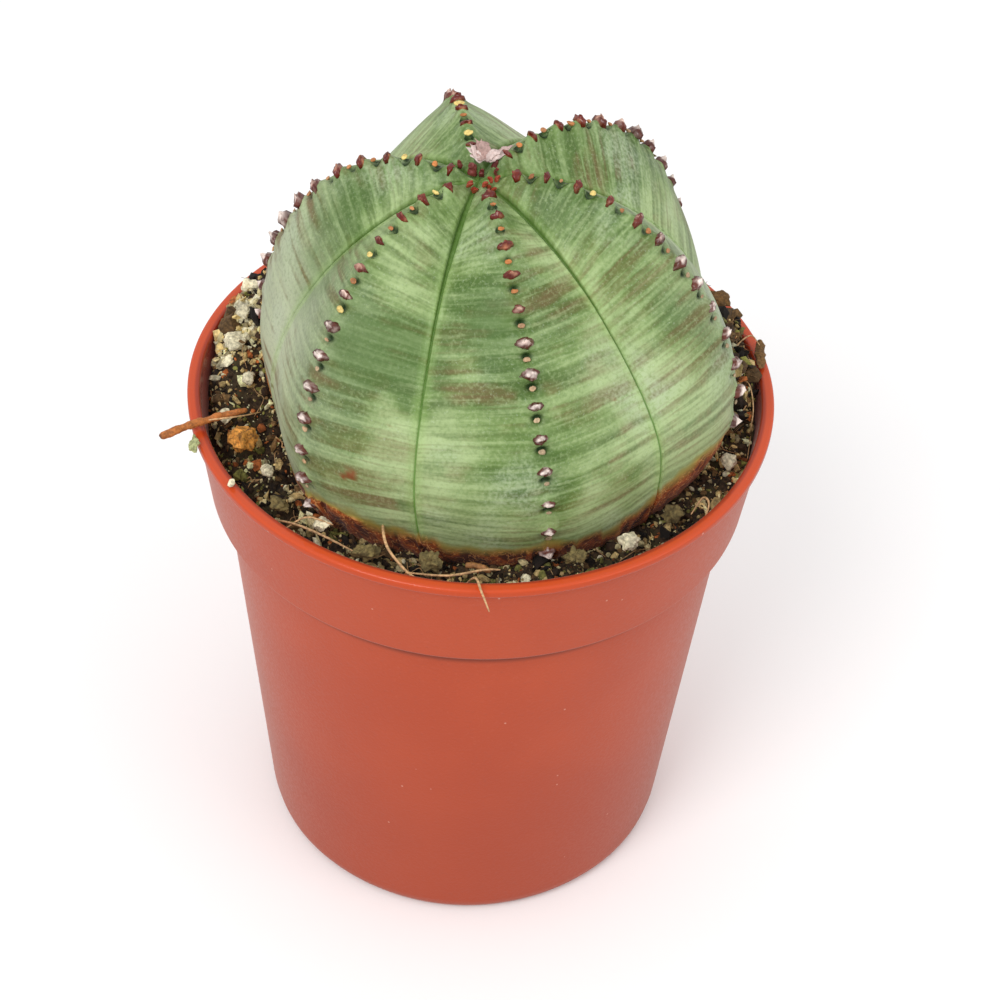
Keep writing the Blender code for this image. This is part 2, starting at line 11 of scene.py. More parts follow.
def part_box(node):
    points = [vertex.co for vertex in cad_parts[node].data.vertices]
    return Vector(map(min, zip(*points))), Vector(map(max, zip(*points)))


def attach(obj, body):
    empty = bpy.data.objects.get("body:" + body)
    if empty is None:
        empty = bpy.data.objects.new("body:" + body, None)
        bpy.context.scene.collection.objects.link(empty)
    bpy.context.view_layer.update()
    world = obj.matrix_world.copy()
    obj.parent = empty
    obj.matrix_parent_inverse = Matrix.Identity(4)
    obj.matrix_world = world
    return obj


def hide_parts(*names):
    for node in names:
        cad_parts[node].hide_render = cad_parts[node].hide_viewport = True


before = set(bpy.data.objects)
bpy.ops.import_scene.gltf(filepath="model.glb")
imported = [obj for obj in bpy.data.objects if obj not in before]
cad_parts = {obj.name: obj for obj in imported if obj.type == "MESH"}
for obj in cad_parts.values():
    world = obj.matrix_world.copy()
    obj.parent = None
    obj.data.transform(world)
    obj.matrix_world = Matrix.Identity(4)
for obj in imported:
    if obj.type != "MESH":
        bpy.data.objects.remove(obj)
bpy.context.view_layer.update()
print("frame loaded:", len(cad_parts), "nodes")

mm = 0.001

# Rises smoothly from 0 to 1 while the value goes from low to high.
def rise(value, low=0.0, high=1.0):
    held = np.clip((np.asarray(value, float) - low) / (high - low), 0.0, 1.0)
    return held * held * (3.0 - 2.0 * held)


# Blends from first to second by share.
def blend(first, second, share):
    return first + (second - first) * share


# A bell of height 1 round the centre that has fallen to a third at one width away.
def bell(value, centre, width):
    return np.exp(-((value - centre) / width) ** 2)


# A random value from -1 to 1 at every whole-number corner, blended smoothly in between.
def cornerNoise(points, seed):
    cell = np.floor(points).astype(np.int64)
    inside = points - cell
    fade = inside * inside * (3.0 - 2.0 * inside)
    total = np.zeros(points.shape[:-1])
    for corner in range(8):
        step = np.array([corner & 1, (corner >> 1) & 1, (corner >> 2) & 1])
        at = cell + step
        mixed = at[..., 0] * 73856093 ^ at[..., 1] * 19349663 ^ at[..., 2] * 83492791 ^ seed * 9973
        mixed = (mixed ^ (mixed >> 13)) * 1274126177
        value = ((mixed ^ (mixed >> 16)) & 0xFFFF) / 32767.5 - 1.0
        total += value * np.prod(np.where(step, fade, 1.0 - fade), axis=-1)
    return total


# Corner noise at a lump size, with layers on top of it that are twice as fine and fainter each time.
def lumps(points, size, layers=3, seed=1, fading=0.5):
    total = np.zeros(np.asarray(points).shape[:-1])
    for layer in range(layers):
        total += fading ** layer * cornerNoise(np.asarray(points) * 2.0 ** layer / size + 7.3, seed + layer)
    return total


# Three separate fields of lumps as one sideways push for each point.
def shaken(points, size, layers, seed, fading=0.5):
    return np.stack([lumps(points, size, layers, seed + axis, fading) for axis in range(3)], -1)


# A colour as seen, 0 to 255, as the light value that a shader takes: the power 2.4, straight near black.
def seen(red, green, blue):
    part = np.array([red, green, blue]) / 255.0
    light = np.where(part <= 0.04045, part / 12.92, ((part + 0.055) / 1.055) ** 2.4)
    return (*[float(x) for x in light], 1.0)


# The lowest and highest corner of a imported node, in mm.
def boxInMm(name):
    low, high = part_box(name)
    return np.array(low) / mm, np.array(high) / mm


# Makes one object from points in mm, arrays of face corners, a material and values on the points.
def newPiece(name, points, faceArrays, material, marks=None, smooth=True):
    mesh = bpy.data.meshes.new(name)
    points = np.asarray(points, float).reshape(-1, 3)
    corners = np.concatenate([faces.ravel() for faces in faceArrays]).astype(np.int32)
    counts = np.concatenate([np.full(len(faces), faces.shape[1]) for faces in faceArrays])
    starts = (np.cumsum(counts) - counts).astype(np.int32)
    mesh.vertices.add(len(points))
    mesh.vertices.foreach_set("co", (points * mm).ravel())
    mesh.loops.add(len(corners))
    mesh.loops.foreach_set("vertex_index", corners)
    mesh.polygons.add(len(counts))
    mesh.polygons.foreach_set("loop_start", starts)
    mesh.update(calc_edges=True)
    mesh.validate()
    mesh.polygons.foreach_set("use_smooth", np.full(len(mesh.polygons), smooth))
    for key, values in (marks or {}).items():
        values = np.asarray(values, float).reshape(len(points), -1)
        kind = {1: "FLOAT", 3: "FLOAT_VECTOR", 4: "FLOAT_COLOR"}[values.shape[1]]
        store = mesh.attributes.new(key, kind, "POINT")
        store.data.foreach_set({1: "value", 3: "vector", 4: "color"}[values.shape[1]], values.ravel())
    mesh.materials.append(material)
    made = bpy.data.objects.new(name, mesh)
    bpy.context.scene.collection.objects.link(made)
    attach(made, "root")
    return made


# Four-cornered faces between neighbouring rows of a grid that closes round on itself: each joins a
# point, the one below it, and the two beside them.
def ringFaces(rows, columns, start=0, flip=False):
    row, column = np.meshgrid(np.arange(rows - 1), np.arange(columns), indexing="ij")
    beside = (column + 1) % columns
    faces = np.stack([row * columns + column, (row + 1) * columns + column,
                      (row + 1) * columns + beside, row * columns + beside], -1).reshape(-1, 4) + start
    return faces[:, ::-1] if flip else faces


# Three-cornered faces from one middle point to a ring that starts at the given point.
def fanFaces(middle, ringStart, columns, flip=False):
    here = np.arange(columns)
    faces = np.stack([np.full(columns, middle), ringStart + here, ringStart + (here + 1) % columns], -1)
    return faces[:, ::-1] if flip else faces


# Points and faces of a closed skin: rows of rings, with a single point closing each end.
def closedSkin(grid, firstPoint, lastPoint, flip=False):
    rows, columns = grid.shape[:2]
    points = np.concatenate([grid.reshape(-1, 3), [firstPoint], [lastPoint]])
    count = rows * columns
    faces = [ringFaces(rows, columns, 0, flip), fanFaces(count, 0, columns, flip),
             fanFaces(count + 1, count - columns, columns, not flip)]
    return points, faces


# Outward directions of a grid that closes round: the slope down the rows crossed with that round them.
def gridNormals(grid):
    down = np.gradient(grid, axis=0)
    around = np.roll(grid, -1, axis=1) - np.roll(grid, 1, axis=1)
    normal = np.cross(down, around)
    return normal / np.maximum(np.linalg.norm(normal, axis=-1, keepdims=True), 1e-9)


# A bent round rod along its centre points: a ring square to the line at each point, both ends closed.
def rodSkin(line, radii, sides=8, flatten=1.0):
    line = np.asarray(line, float)
    along = np.gradient(line, axis=0)
    along /= np.linalg.norm(along, axis=1, keepdims=True)
    upright = np.where(np.abs(along[:, 2:3]) > 0.9, [[1.0, 0.0, 0.0]], [[0.0, 0.0, 1.0]])
    side = np.cross(along, upright)
    side /= np.linalg.norm(side, axis=1, keepdims=True)
    over = np.cross(side, along)
    turn = np.arange(sides) * 2.0 * math.pi / sides
    radii = np.asarray(radii, float).reshape(-1, 1, 1)
    grid = line[:, None] + radii * (np.cos(turn)[None, :, None] * side[:, None]
                                    + flatten * np.sin(turn)[None, :, None] * over[:, None])
    return closedSkin(grid, line[0], line[-1], flip=True)


# Joins several skins into one set of points and faces; values gives one number or colour per skin.
def joinSkins(skins, values=None):
    points, triangles, quads, spread, start = [], [], [], [], 0
    for index, (skinPoints, faceArrays) in enumerate(skins):
        points.append(skinPoints)
        for faces in faceArrays:
            (quads if faces.shape[1] == 4 else triangles).append(faces + start)
        if values is not None:
            spread.append(np.repeat(np.atleast_2d(values[index]), len(skinPoints), axis=0))
        start += len(skinPoints)
    groups = [np.concatenate(group) for group in (quads, triangles) if group]
    return np.concatenate(points), groups, (np.concatenate(spread) if spread else None)


# A smooth line through control points: straight pieces rounded by a spline that passes through each.
def curvedLine(controls, count):
    controls = np.asarray(controls, float)
    held = np.concatenate([[2 * controls[0] - controls[1]], controls, [2 * controls[-1] - controls[-2]]])
    at = np.linspace(0.0, len(controls) - 1.000001, count)
    piece = at.astype(int)
    t = (at - piece)[:, None]
    a, b, c, d = held[piece], held[piece + 1], held[piece + 2], held[piece + 3]
    return 0.5 * (2 * b + (c - a) * t + (2 * a - 5 * b + 4 * c - d) * t ** 2
                  + (3 * b - a - 3 * c + d) * t ** 3)


# Adds a shader node; each input gets a fixed value or a link from another node's output.
def addNode(tree, kind, inputs=None, **settings):
    made = tree.nodes.new("ShaderNode" + kind)
    for key, value in settings.items():
        setattr(made, key, value)
    for key, value in (inputs or {}).items():
        if isinstance(value, bpy.types.NodeSocket):
            tree.links.new(value, made.inputs[key])
        else:
            made.inputs[key].default_value = value
    return made


# One sum in a shader: an operation on two values, each a number or another node's output.
def maths(tree, operation, first, second=0.0):
    return addNode(tree, "Math", {0: first, 1: second}, operation=operation).outputs[0]


# The product of two values in a shader.
def times(tree, first, second):
    return maths(tree, "MULTIPLY", first, second)


# Turns a value into a share that goes smoothly from fromValue at low to toValue at high.
def ramp(tree, value, low, high, fromValue=0.0, toValue=1.0):
    return addNode(tree, "MapRange", {"Value": value, "From Min": low, "From Max": high,
                                      "To Min": fromValue, "To Max": toValue},
                   interpolation_type="SMOOTHSTEP").outputs["Result"]


# Goes from the first colour to the second by share.
def mixColours(tree, share, first, second):
    return addNode(tree, "Mix", {0: share, 6: first, 7: second}, data_type="RGBA").outputs[2]


# Noise whose grain is given in patches per mm along each axis of the coordinates.
def grainNoise(tree, coordinates, perMm, detail=2.0, roughness=0.55, shift=0.0):
    scale = perMm if isinstance(perMm, tuple) else (perMm, perMm, perMm)
    placed = addNode(tree, "Mapping", {"Vector": coordinates, "Location": (shift, shift * 0.7, -shift),
                                       "Scale": scale}).outputs[0]
    return addNode(tree, "TexNoise", {"Vector": placed, "Scale": 1.0, "Detail": detail,
                                      "Roughness": roughness}).outputs["Fac"]


# Object coordinates in mm.
def placeInMm(tree):
    place = addNode(tree, "TexCoord").outputs["Object"]
    return addNode(tree, "VectorMath", {0: place, 1: (1000.0, 1000.0, 1000.0)},
                   operation="MULTIPLY").outputs[0]


# Reads a value that a piece carries on its points.
def mark(tree, name, output="Fac"):
    return addNode(tree, "Attribute", attribute_name=name).outputs[output]


# A new material with its node tree and its shader.
def newMaterial(name, roughness):
    material = bpy.data.materials.new(name)
    material.use_nodes = True
    shader = material.node_tree.nodes["Principled BSDF"]
    shader.inputs["Roughness"].default_value = roughness
    return material, material.node_tree, shader


# Lets a height, as deep as the distance in mm, tilt the shading of a surface.
def setHeight(tree, shader, height, distance, strength=1.0):
    made = addNode(tree, "Bump", {"Height": height, "Distance": distance * mm, "Strength": strength})
    tree.links.new(made.outputs[0], shader.inputs["Normal"])


# Shared effect: a coarse and a fine noise, added 45 to 55, swing a colour from (1 - contrast) to
# (1 + contrast) times itself, and the same sum is given out as a height.
def mottleGroup():
    group = bpy.data.node_groups.new("mottle", "ShaderNodeTree")
    for name, kind, value in (("Colour", "NodeSocketColor", None), ("Coarse", "NodeSocketFloat", 0.5),
                              ("Fine", "NodeSocketFloat", 3.0), ("Contrast", "NodeSocketFloat", 0.4)):
        socket = group.interface.new_socket(name, in_out="INPUT", socket_type=kind)
        if value is not None:
            socket.default_value = value
    group.interface.new_socket("Colour", in_out="OUTPUT", socket_type="NodeSocketColor")
    group.interface.new_socket("Height", in_out="OUTPUT", socket_type="NodeSocketFloat")
    given = group.nodes.new("NodeGroupInput").outputs
    place = placeInMm(group)
    noises = []
    for key, detail in (("Coarse", 3.0), ("Fine", 4.0)):
        noises.append(addNode(group, "TexNoise", {"Vector": place, "Scale": given[key], "Detail": detail,
                                                  "Roughness": 0.6}).outputs["Fac"])
    both = maths(group, "ADD", times(group, noises[0], 0.45), times(group, noises[1], 0.55))
    spread = ramp(group, both, 0.36, 0.64, -1.0, 1.0)
    factor = maths(group, "ADD", 1.0, times(group, spread, given["Contrast"]))
    shade = addNode(group, "CombineColor", {0: factor, 1: factor, 2: factor}).outputs[0]
    colour = addNode(group, "VectorMath", {0: given["Colour"], 1: shade}, operation="MULTIPLY").outputs[0]
    out = group.nodes.new("NodeGroupOutput")
    group.links.new(colour, out.inputs["Colour"])
    group.links.new(both, out.inputs["Height"])
    return group


mottle = mottleGroup()


# Places the mottle in a material with its own grains per mm and contrast.
def mottled(tree, colour, coarse, fine, contrast):
    made = tree.nodes.new("ShaderNodeGroup")
    made.node_tree = mottle
    for key, value in (("Colour", colour), ("Coarse", coarse), ("Fine", fine), ("Contrast", contrast)):
        if isinstance(value, bpy.types.NodeSocket):
            tree.links.new(value, made.inputs[key])
        else:
            made.inputs[key].default_value = value
    return made.outputs["Colour"], made.outputs["Height"]


# A mineral, woody or horny finish: the piece's own "tint" colours, mottled, with the mottle as height.
def tintedMaterial(name, roughness, coarse, fine, contrast, depth):
    material, tree, shader = newMaterial(name, roughness)
    colour, height = mottled(tree, mark(tree, "tint", "Color"), coarse, fine, contrast)
    tree.links.new(colour, shader.inputs["Base Color"])
    setHeight(tree, shader, height, depth)
    return material


# Random colours from a list, by their odds, each made darker or lighter by a share between low and high.
def randomTints(dice, colours, odds, count, low, high):
    return np.array(colours)[dice.choice(len(odds), count, p=odds)] * dice.uniform(low, high, (count, 1))


# The same colours with their fourth value, the opacity, back at 1.
def solid(tints):
    tints = np.array(tints)
    tints[..., 3] = 1.0
    return tints


# The pot: sizes in mm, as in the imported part, then its colours and finish.
pot = dict(
    height=63.5, rimRadius=32.5, lipHeight=1.0, lipOverhang=0.5, lipRounding=0.32, bandHeight=12.3,
    bandTaper=1.5, stepDepth=1.7, stepDrop=0.8, wall=0.9, floor=1.0, footRadius=24.5, footRounding=2.2,
    footRing=3.6, recess=1.2, pad=6.0, holes=8, holeRadius=1.8, segments=288,
    # The lip colour is painted light through the thin lip; the step, inside and low colours are painted
    # shade.
    colour=seen(199, 79, 40), shade=seen(183, 68, 34), dust=seen(226, 178, 160), roughness=0.36,
    paintedLipLight=seen(204, 74, 30), stepShadeColour=seen(96, 36, 22), insideShadeColour=seen(146, 44, 22),
    peelLight=seen(214, 128, 104), peelDark=seen(146, 58, 40), lowShadeColour=seen(166, 66, 42),
    sheen=0.34, sheenRoughness=0.34, sheenTint=seen(226, 204, 198), peelPerMm=2.6, dustPerMm=0.62,
    dustChance=0.86, bandShade=2.7, waves=((3.0, 0.05, 0.6), (7.0, 0.03, 0.0)), holeSides=32,
)
pot["bandTop"] = pot["rimRadius"] - pot["lipOverhang"]
pot["bandFoot"] = pot["bandTop"] - pot["bandTaper"]
pot["bodyTop"] = pot["bandFoot"] - pot["stepDepth"]
pot["stepHeight"] = pot["height"] - pot["bandHeight"]
pot["ledge"] = pot["stepHeight"] - pot["stepDrop"]


# Radius of the pot's outside: a straight taper on the band, and another on the body below the step.
def outsideRadius(height):
    onBand = pot["bandFoot"] + pot["bandTaper"] * (height - pot["stepHeight"]) / pot["bandHeight"]
    onBody = pot["footRadius"] + (pot["bodyTop"] - pot["footRadius"]) * height / pot["ledge"]
    return np.where(np.asarray(height) >= pot["stepHeight"], onBand, onBody)


# Outline with each corner replaced by a short arc: a curve from one side, past the corner, to the other.
def roundedOutline(corners, steps=5):
    outline = []
    for index, (radius, height, rounding) in enumerate(corners):
        here = np.array([radius, height])
        if rounding == 0.0 or index in (0, len(corners) - 1):
            outline.append(here[None])
            continue
        before = np.array(corners[index - 1][:2]) - here
        after = np.array(corners[index + 1][:2]) - here
        start = here + before * min(rounding / np.linalg.norm(before), 0.48)
        end = here + after * min(rounding / np.linalg.norm(after), 0.48)
        t = np.linspace(0.0, 1.0, steps)[:, None]
        outline.append((1 - t) ** 2 * start + 2 * t * (1 - t) * here + t ** 2 * end)
    return np.concatenate(outline)


# The pot's whole cut outline, from the middle of the underside up the outside, over the lip and down
# the inside to the middle of the floor, with each corner's rounding.
def potOutline():
    p = pot
    top, lipFoot = p["height"], p["height"] - p["lipHeight"]
    inner = float(outsideRadius(top)) - p["wall"]
    floorTop = p["recess"] + p["floor"]
    ring = p["footRadius"] - p["footRing"]
    corners = [
        (0.0, 0.0, 0.0), (p["pad"], 0.0, 0.2), (p["pad"], p["recess"], 0.2), (ring, p["recess"], 0.3),
        (ring, 0.0, 0.4), (p["footRadius"], 0.0, p["footRounding"]), (p["bodyTop"], p["ledge"], 0.25),
        (p["bandFoot"], p["stepHeight"], 0.35), (float(outsideRadius(lipFoot)), lipFoot, 0.12),
        (p["rimRadius"], lipFoot, p["lipRounding"]), (p["rimRadius"], top, p["lipRounding"]),
        (inner, top, 0.35), (p["bandFoot"] - p["wall"], p["stepHeight"], 0.4),
        (p["bodyTop"] - p["wall"], p["ledge"], 0.4),
        (float(outsideRadius(floorTop)) - p["wall"], floorTop, 0.5), (0.0, floorTop, 0.0),
    ]
    return roundedOutline(corners)


# 1 on the inside of the wall and 0 outside: the distance from the axis, corrected for the band's
# taper, held against the outer radius, and only above the ledge.
def insideWall(tree, place, height):
    flatPlace = addNode(tree, "VectorMath", {0: place, 1: (1.0, 1.0, 0.0)}, operation="MULTIPLY").outputs[0]
    fromAxis = addNode(tree, "VectorMath", {0: flatPlace}, operation="LENGTH").outputs["Value"]
    taper = pot["bandTaper"] / pot["bandHeight"]
    toTop = times(tree, maths(tree, "SUBTRACT", pot["height"], height), taper)
    fromAxis = maths(tree, "ADD", fromAxis, toTop)
    inside = ramp(tree, fromAxis, pot["bandTop"] - 0.25, pot["bandTop"] - 0.6)
    return times(tree, inside, maths(tree, "GREATER_THAN", height, pot["ledge"]))


# Moulded plastic: a cloudy colour with a fine orange peel, painted shade low down, a painted shadow line
# and band under the step, painted light on the lip, painted shade inside, a few specks of dust, and a
# satin shine that the peel varies.
def potMaterial():
    material, tree, shader = newMaterial("potPlastic", pot["roughness"])
    place = placeInMm(tree)
    cloud = ramp(tree, grainNoise(tree, place, 0.05, 3.0), 0.35, 0.68)
    colour = mixColours(tree, times(tree, cloud, 0.45), pot["colour"], pot["shade"])
    peel = grainNoise(tree, place, pot["peelPerMm"], 3.0, 0.6)
    colour = mixColours(tree, ramp(tree, peel, 0.52, 0.78, 0.0, 0.16), colour, pot["peelLight"])
    colour = mixColours(tree, ramp(tree, peel, 0.45, 0.25, 0.0, 0.16), colour, pot["peelDark"])
    height = addNode(tree, "SeparateXYZ", {0: place}).outputs[2]
    # Painted shade: the pot darker low down.
    colour = mixColours(tree, ramp(tree, height, 46.0, 10.0, 0.0, 0.35), colour, pot["lowShadeColour"])
    # Painted light: the lip brighter and more orange, as if lit through its thin plastic.
    lip = ramp(tree, height, pot["height"] - 1.5, pot["height"] - 0.7)
    colour = mixColours(tree, times(tree, lip, 0.8), colour, pot["paintedLipLight"])
    # Painted shade: a dark line just under the step, and a painted shadow band below it where the band
    # overhangs.
    step = pot["stepHeight"]
    fromStep = maths(tree, "ABSOLUTE", maths(tree, "SUBTRACT", height, step - 0.45))
    colour = mixColours(tree, ramp(tree, fromStep, 0.75, 0.25, 0.0, 0.8), colour, pot["stepShadeColour"])
    stepShadow = ramp(tree, height, step - pot["bandShade"], step - pot["bandShade"] + 0.9, 0.0, 0.65)
    stepShadow = times(tree, stepShadow, maths(tree, "LESS_THAN", height, step - 0.3))
    colour = mixColours(tree, stepShadow, colour, pot["stepShadeColour"])
    # Painted shade on the inside of the wall above the soil.
    inside = insideWall(tree, place, height)
    colour = mixColours(tree, times(tree, inside, 0.8), colour, pot["insideShadeColour"])
    specks = addNode(tree, "TexVoronoi", {"Vector": place, "Scale": pot["dustPerMm"]}, feature="F1").outputs
    chance = addNode(tree, "SeparateColor", {0: specks["Color"]}).outputs[0]
    chosen = maths(tree, "GREATER_THAN", chance, pot["dustChance"])
    dusty = times(tree, ramp(tree, specks["Distance"], 0.10, 0.04), chosen)
    colour = mixColours(tree, times(tree, dusty, 0.75), colour, pot["dust"])
    tree.links.new(colour, shader.inputs["Base Color"])
    satin = ramp(tree, peel, 0.3, 0.7, pot["roughness"] - 0.04, pot["roughness"] + 0.10)
    satin = maths(tree, "SUBTRACT", satin, times(tree, lip, 0.20))
    tree.links.new(satin, shader.inputs["Roughness"])
    shader.inputs["Specular IOR Level"].default_value = 0.35
    shader.inputs["Sheen Weight"].default_value = pot["sheen"]
    shader.inputs["Sheen Roughness"].default_value = pot["sheenRoughness"]
    shader.inputs["Sheen Tint"].default_value = pot["sheenTint"]
    setHeight(tree, shader, peel, 0.05, 0.5)
    return material


# The pot's outline carried round a full circle, waved by two sines, with the drain holes punched
# through its floor by a ring of rods.
def makePot():
    outline = potOutline()
    middle = outline[1:-1]
    turn = np.arange(pot["segments"]) * 2.0 * math.pi / pot["segments"]
    wave = sum(swing * np.sin(count * turn + start) for count, swing, start in pot["waves"])
    reach = middle[:, 0:1] + wave[None] * rise(middle[:, 0:1], 10.0, 24.0)
    grid = np.stack([reach * np.cos(turn), reach * np.sin(turn),
                     np.repeat(middle[:, 1:2], len(turn), axis=1)], -1)
    points, faces = closedSkin(grid, (0, 0, outline[0, 1]), (0, 0, outline[-1, 1]), flip=True)
    made = newPiece("potShell", points, faces, potMaterial())
    rods = []
    ring = (pot["pad"] + pot["footRadius"] - pot["footRing"]) / 2.0
    for hole in range(pot["holes"]):
        at = 2.0 * math.pi * (hole + 0.5) / pot["holes"]
        line = [[ring * math.cos(at), ring * math.sin(at), z] for z in (-3.0, 1.0, 5.0)]
        rods.append(rodSkin(line, [pot["holeRadius"]] * 3, pot["holeSides"]))
    points, faces, _ = joinSkins(rods)
    punch = newPiece("punch", points, faces, made.data.materials[0])
    cut = made.modifiers.new("holes", "BOOLEAN")
    cut.operation, cut.object, cut.solver = "DIFFERENCE", punch, "EXACT"
    ready = bpy.data.meshes.new_from_object(made.evaluated_get(bpy.context.evaluated_depsgraph_get()))
    made.modifiers.clear()
    made.data = ready
    bpy.data.objects.remove(punch)
    ready.set_sharp_from_angle(angle=math.radians(50.0))
    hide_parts("pot")
    return made


makePot()
print("pot done")

# The plant: each rib's bearing in degrees and how far it stands out, then its sizes in mm as in the
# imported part. A tone is a place on the skin, its reach and how much lighter or darker it is, and a scar
# is a place and its radius.
plant = dict(
    ribs=((-74.0, -2.8), (-16.0, 0.6), (41.0, 1.4), (102.0, 0.7), (169.0, -0.5), (226.0, 0.0)),
    grooveShift=(1.4, 0.0, 0.0, 0.0, 0.0, -1.3), columnsPerRib=72, widest=26.2, grooveWidest=24.0,
    offCentre=(1.5, 0.7), baseHeight=58.5, height=35.2, shoulder=7.3, shoulderShare=0.18, dip=2.1,
    crestHeight=9.6, grooveHeight=9.9, crestRoundness=1.90, grooveRoundness=1.83, underside=24.0,
    neck=6.5, tip=0.8, tipHeight=-42.6, lean=5.7, leanToward=214.0, bulge=0.75, crestRound=0.35,
    footSwell=2.0, footToward=-66.0, footWidth=60.0,
    tones=((-14.5, -1.0, 88.0, 4.0, -1.0), (-13.0, -17.5, 81.0, 4.5, -1.5), (-8.5, -18.5, 81.0, 4.0, -1.2),
           (0.5, -16.5, 86.0, 4.0, -1.5), (-18.7, -6.7, 79.0, 5.0, -1.0), (-16.0, -5.0, 85.0, 4.0, -1.0),
           (18.5, -9.0, 85.0, 4.0, -0.6), (-5.0, -5.5, 92.0, 3.0, 0.5), (-9.0, -11.0, 90.2, 3.5, 0.8),
           (-9.0, -14.0, 87.0, 2.5, 0.7), (4.4, -10.0, 90.4, 3.0, 0.5), (9.0, -9.5, 88.5, 4.0, 0.6),
           (20.0, -15.0, 71.5, 5.0, 0.8), (24.7, -10.0, 67.8, 4.0, 0.8), (-3.4, -23.0, 66.0, 5.0, 0.5),
           (2.0, -20.0, 80.0, 3.0, -0.4), (-9.6, -16.4, 83.6, 4.0, -0.8), (-12.8, -20.2, 76.0, 4.0, -0.7),
           (1.2, -17.0, 85.6, 3.0, -0.7)),
    scars=((-12.8, -21.9, 68.7, 1.05), (13.7, -17.9, 77.5, 0.34), (11.6, -19.0, 78.3, 0.22),
           (17.0, -18.8, 70.4, 0.28), (9.9, -22.8, 71.8, 0.30), (-8.7, -21.3, 75.3, 0.22)),
    bodyRows=206, underRows=16, rootRows=10, crowding=0.62,
    corkHeight=2.4, corkRises=((-28.0, 20.0, 4.6), (-120.0, 20.0, 2.4)),
)


# The turn that leans the upright plant by its lean towards its bearing.
def plantFrame():
    toward = math.radians(plant["leanToward"])
    axis = Vector((-math.sin(toward), math.cos(toward), 0.0))
    return np.array(Matrix.Rotation(math.radians(plant["lean"]), 3, axis))


plantTurn = plantFrame()
plantAt = np.array([*plant["offCentre"], plant["baseHeight"]])


# Points of the upright plant, leant and then moved to its place in the pot.
def toPot(points):
    return points @ plantTurn.T + plantAt


# Crest and groove outlines: radius and height along each, from the crown (0) over the widest place (1)
# and the underside (2) to the tip of the root (3); quarter superellipses, then a quarter ellipse, then
# a taper that slims by the power one and a half.
def outlines(along):
    p = plant
    share = p["shoulderShare"]
    low = np.clip(along / share, 0.0, 1.0)
    turn = np.radians(90.0) * np.clip((1.0 - along) / (1.0 - share), 0.0, 1.0)
    level = np.cos(turn) ** (2.0 / p["crestRoundness"])
    upright = np.sin(turn) ** (2.0 / p["crestRoundness"])
    crestRadius = np.where(along < share, p["shoulder"] * low,
                           p["shoulder"] + (p["widest"] - p["shoulder"]) * level)
    crestHeight = np.where(along < share, p["height"] - p["dip"] * (1.0 - np.sin(np.radians(90.0) * low)),
                           p["crestHeight"] + (p["height"] - p["crestHeight"]) * upright)
    turn = np.radians(90.0) * np.clip(1.0 - along, 0.0, 1.0)
    top = p["height"] - p["dip"]
    grooveRadius = p["grooveWidest"] * np.cos(turn) ** (2.0 / p["grooveRoundness"])
    upright = np.sin(turn) ** (2.0 / p["grooveRoundness"])
    grooveHeight = p["grooveHeight"] + (top - p["grooveHeight"]) * upright
    under = np.clip(along - 1.0, 0.0, 1.0)
    turn = math.acos(p["neck"] / p["widest"]) * under
    below = along > 1.0
    crestRadius = np.where(below, p["widest"] * np.cos(turn), crestRadius)
    grooveRadius = np.where(below, p["grooveWidest"] * np.cos(turn), grooveRadius)
    crestHeight = np.where(below, p["crestHeight"] - p["underside"] * np.sin(turn), crestHeight)
    grooveHeight = np.where(below, p["grooveHeight"] - p["underside"] * np.sin(turn), grooveHeight)
    middleRadius = (crestRadius + grooveRadius) / 2.0
    middleHeight = (crestHeight + grooveHeight) / 2.0
    close = rise(under)
    share = np.clip(along - 2.0, 0.0, 1.0)
    slim = (1.0 - share) ** 1.5
    rootRadius = p["tip"] + (middleRadius - p["tip"]) * slim
    rootHeight = middleHeight + (p["tipHeight"] - middleHeight) * share
    crest = (blend(crestRadius, rootRadius, close), blend(crestHeight, rootHeight, close))
    groove = (blend(grooveRadius, rootRadius, close), blend(grooveHeight, rootHeight, close))
    return crest, groove


# Point on the skin of the upright plant: straight from crest to groove on each face, swollen by half a
# sine wave across the face and by a bell low in front, and round under the soil.
def skinPoint(along, crestBearing, grooveBearing, reach, share):
    crest, groove = outlines(along)
    inSoil = rise(along, 1.0, 2.0)
    crestRadius = crest[0] + reach * rise(along, 0.1, 0.6) * (1.0 - inSoil)
    fromFront = np.degrees(blend(crestBearing, grooveBearing, share)) - plant["footToward"]
    fromFront = (fromFront + 180.0) % 360.0 - 180.0
    foot = plant["footSwell"] * bell(fromFront, 0.0, plant["footWidth"]) * rise(along, 0.55, 0.95)
    bulge = plant["bulge"] * rise(along, 0.1, 0.7) * np.sin(math.pi * share ** 0.8)
    swell = (bulge + foot) * (1.0 - inSoil)
    x = blend(crestRadius * np.cos(crestBearing), groove[0] * np.cos(grooveBearing), share)
    y = blend(crestRadius * np.sin(crestBearing), groove[0] * np.sin(grooveBearing), share)
    height = blend(crest[1], groove[1], share)
    turn = blend(crestBearing, grooveBearing, share)
    radius = blend(crestRadius, groove[0], share)
    x = blend(x, radius * np.cos(turn), inSoil) + swell * np.cos(turn)
    y = blend(y, radius * np.sin(turn), inSoil) + swell * np.sin(turn)
    return np.stack([x, y, height], -1)


ribCount = len(plant["ribs"])
ribBearing = np.radians([bearing for bearing, _ in plant["ribs"]])
ribReach = np.array([reach for _, reach in plant["ribs"]])


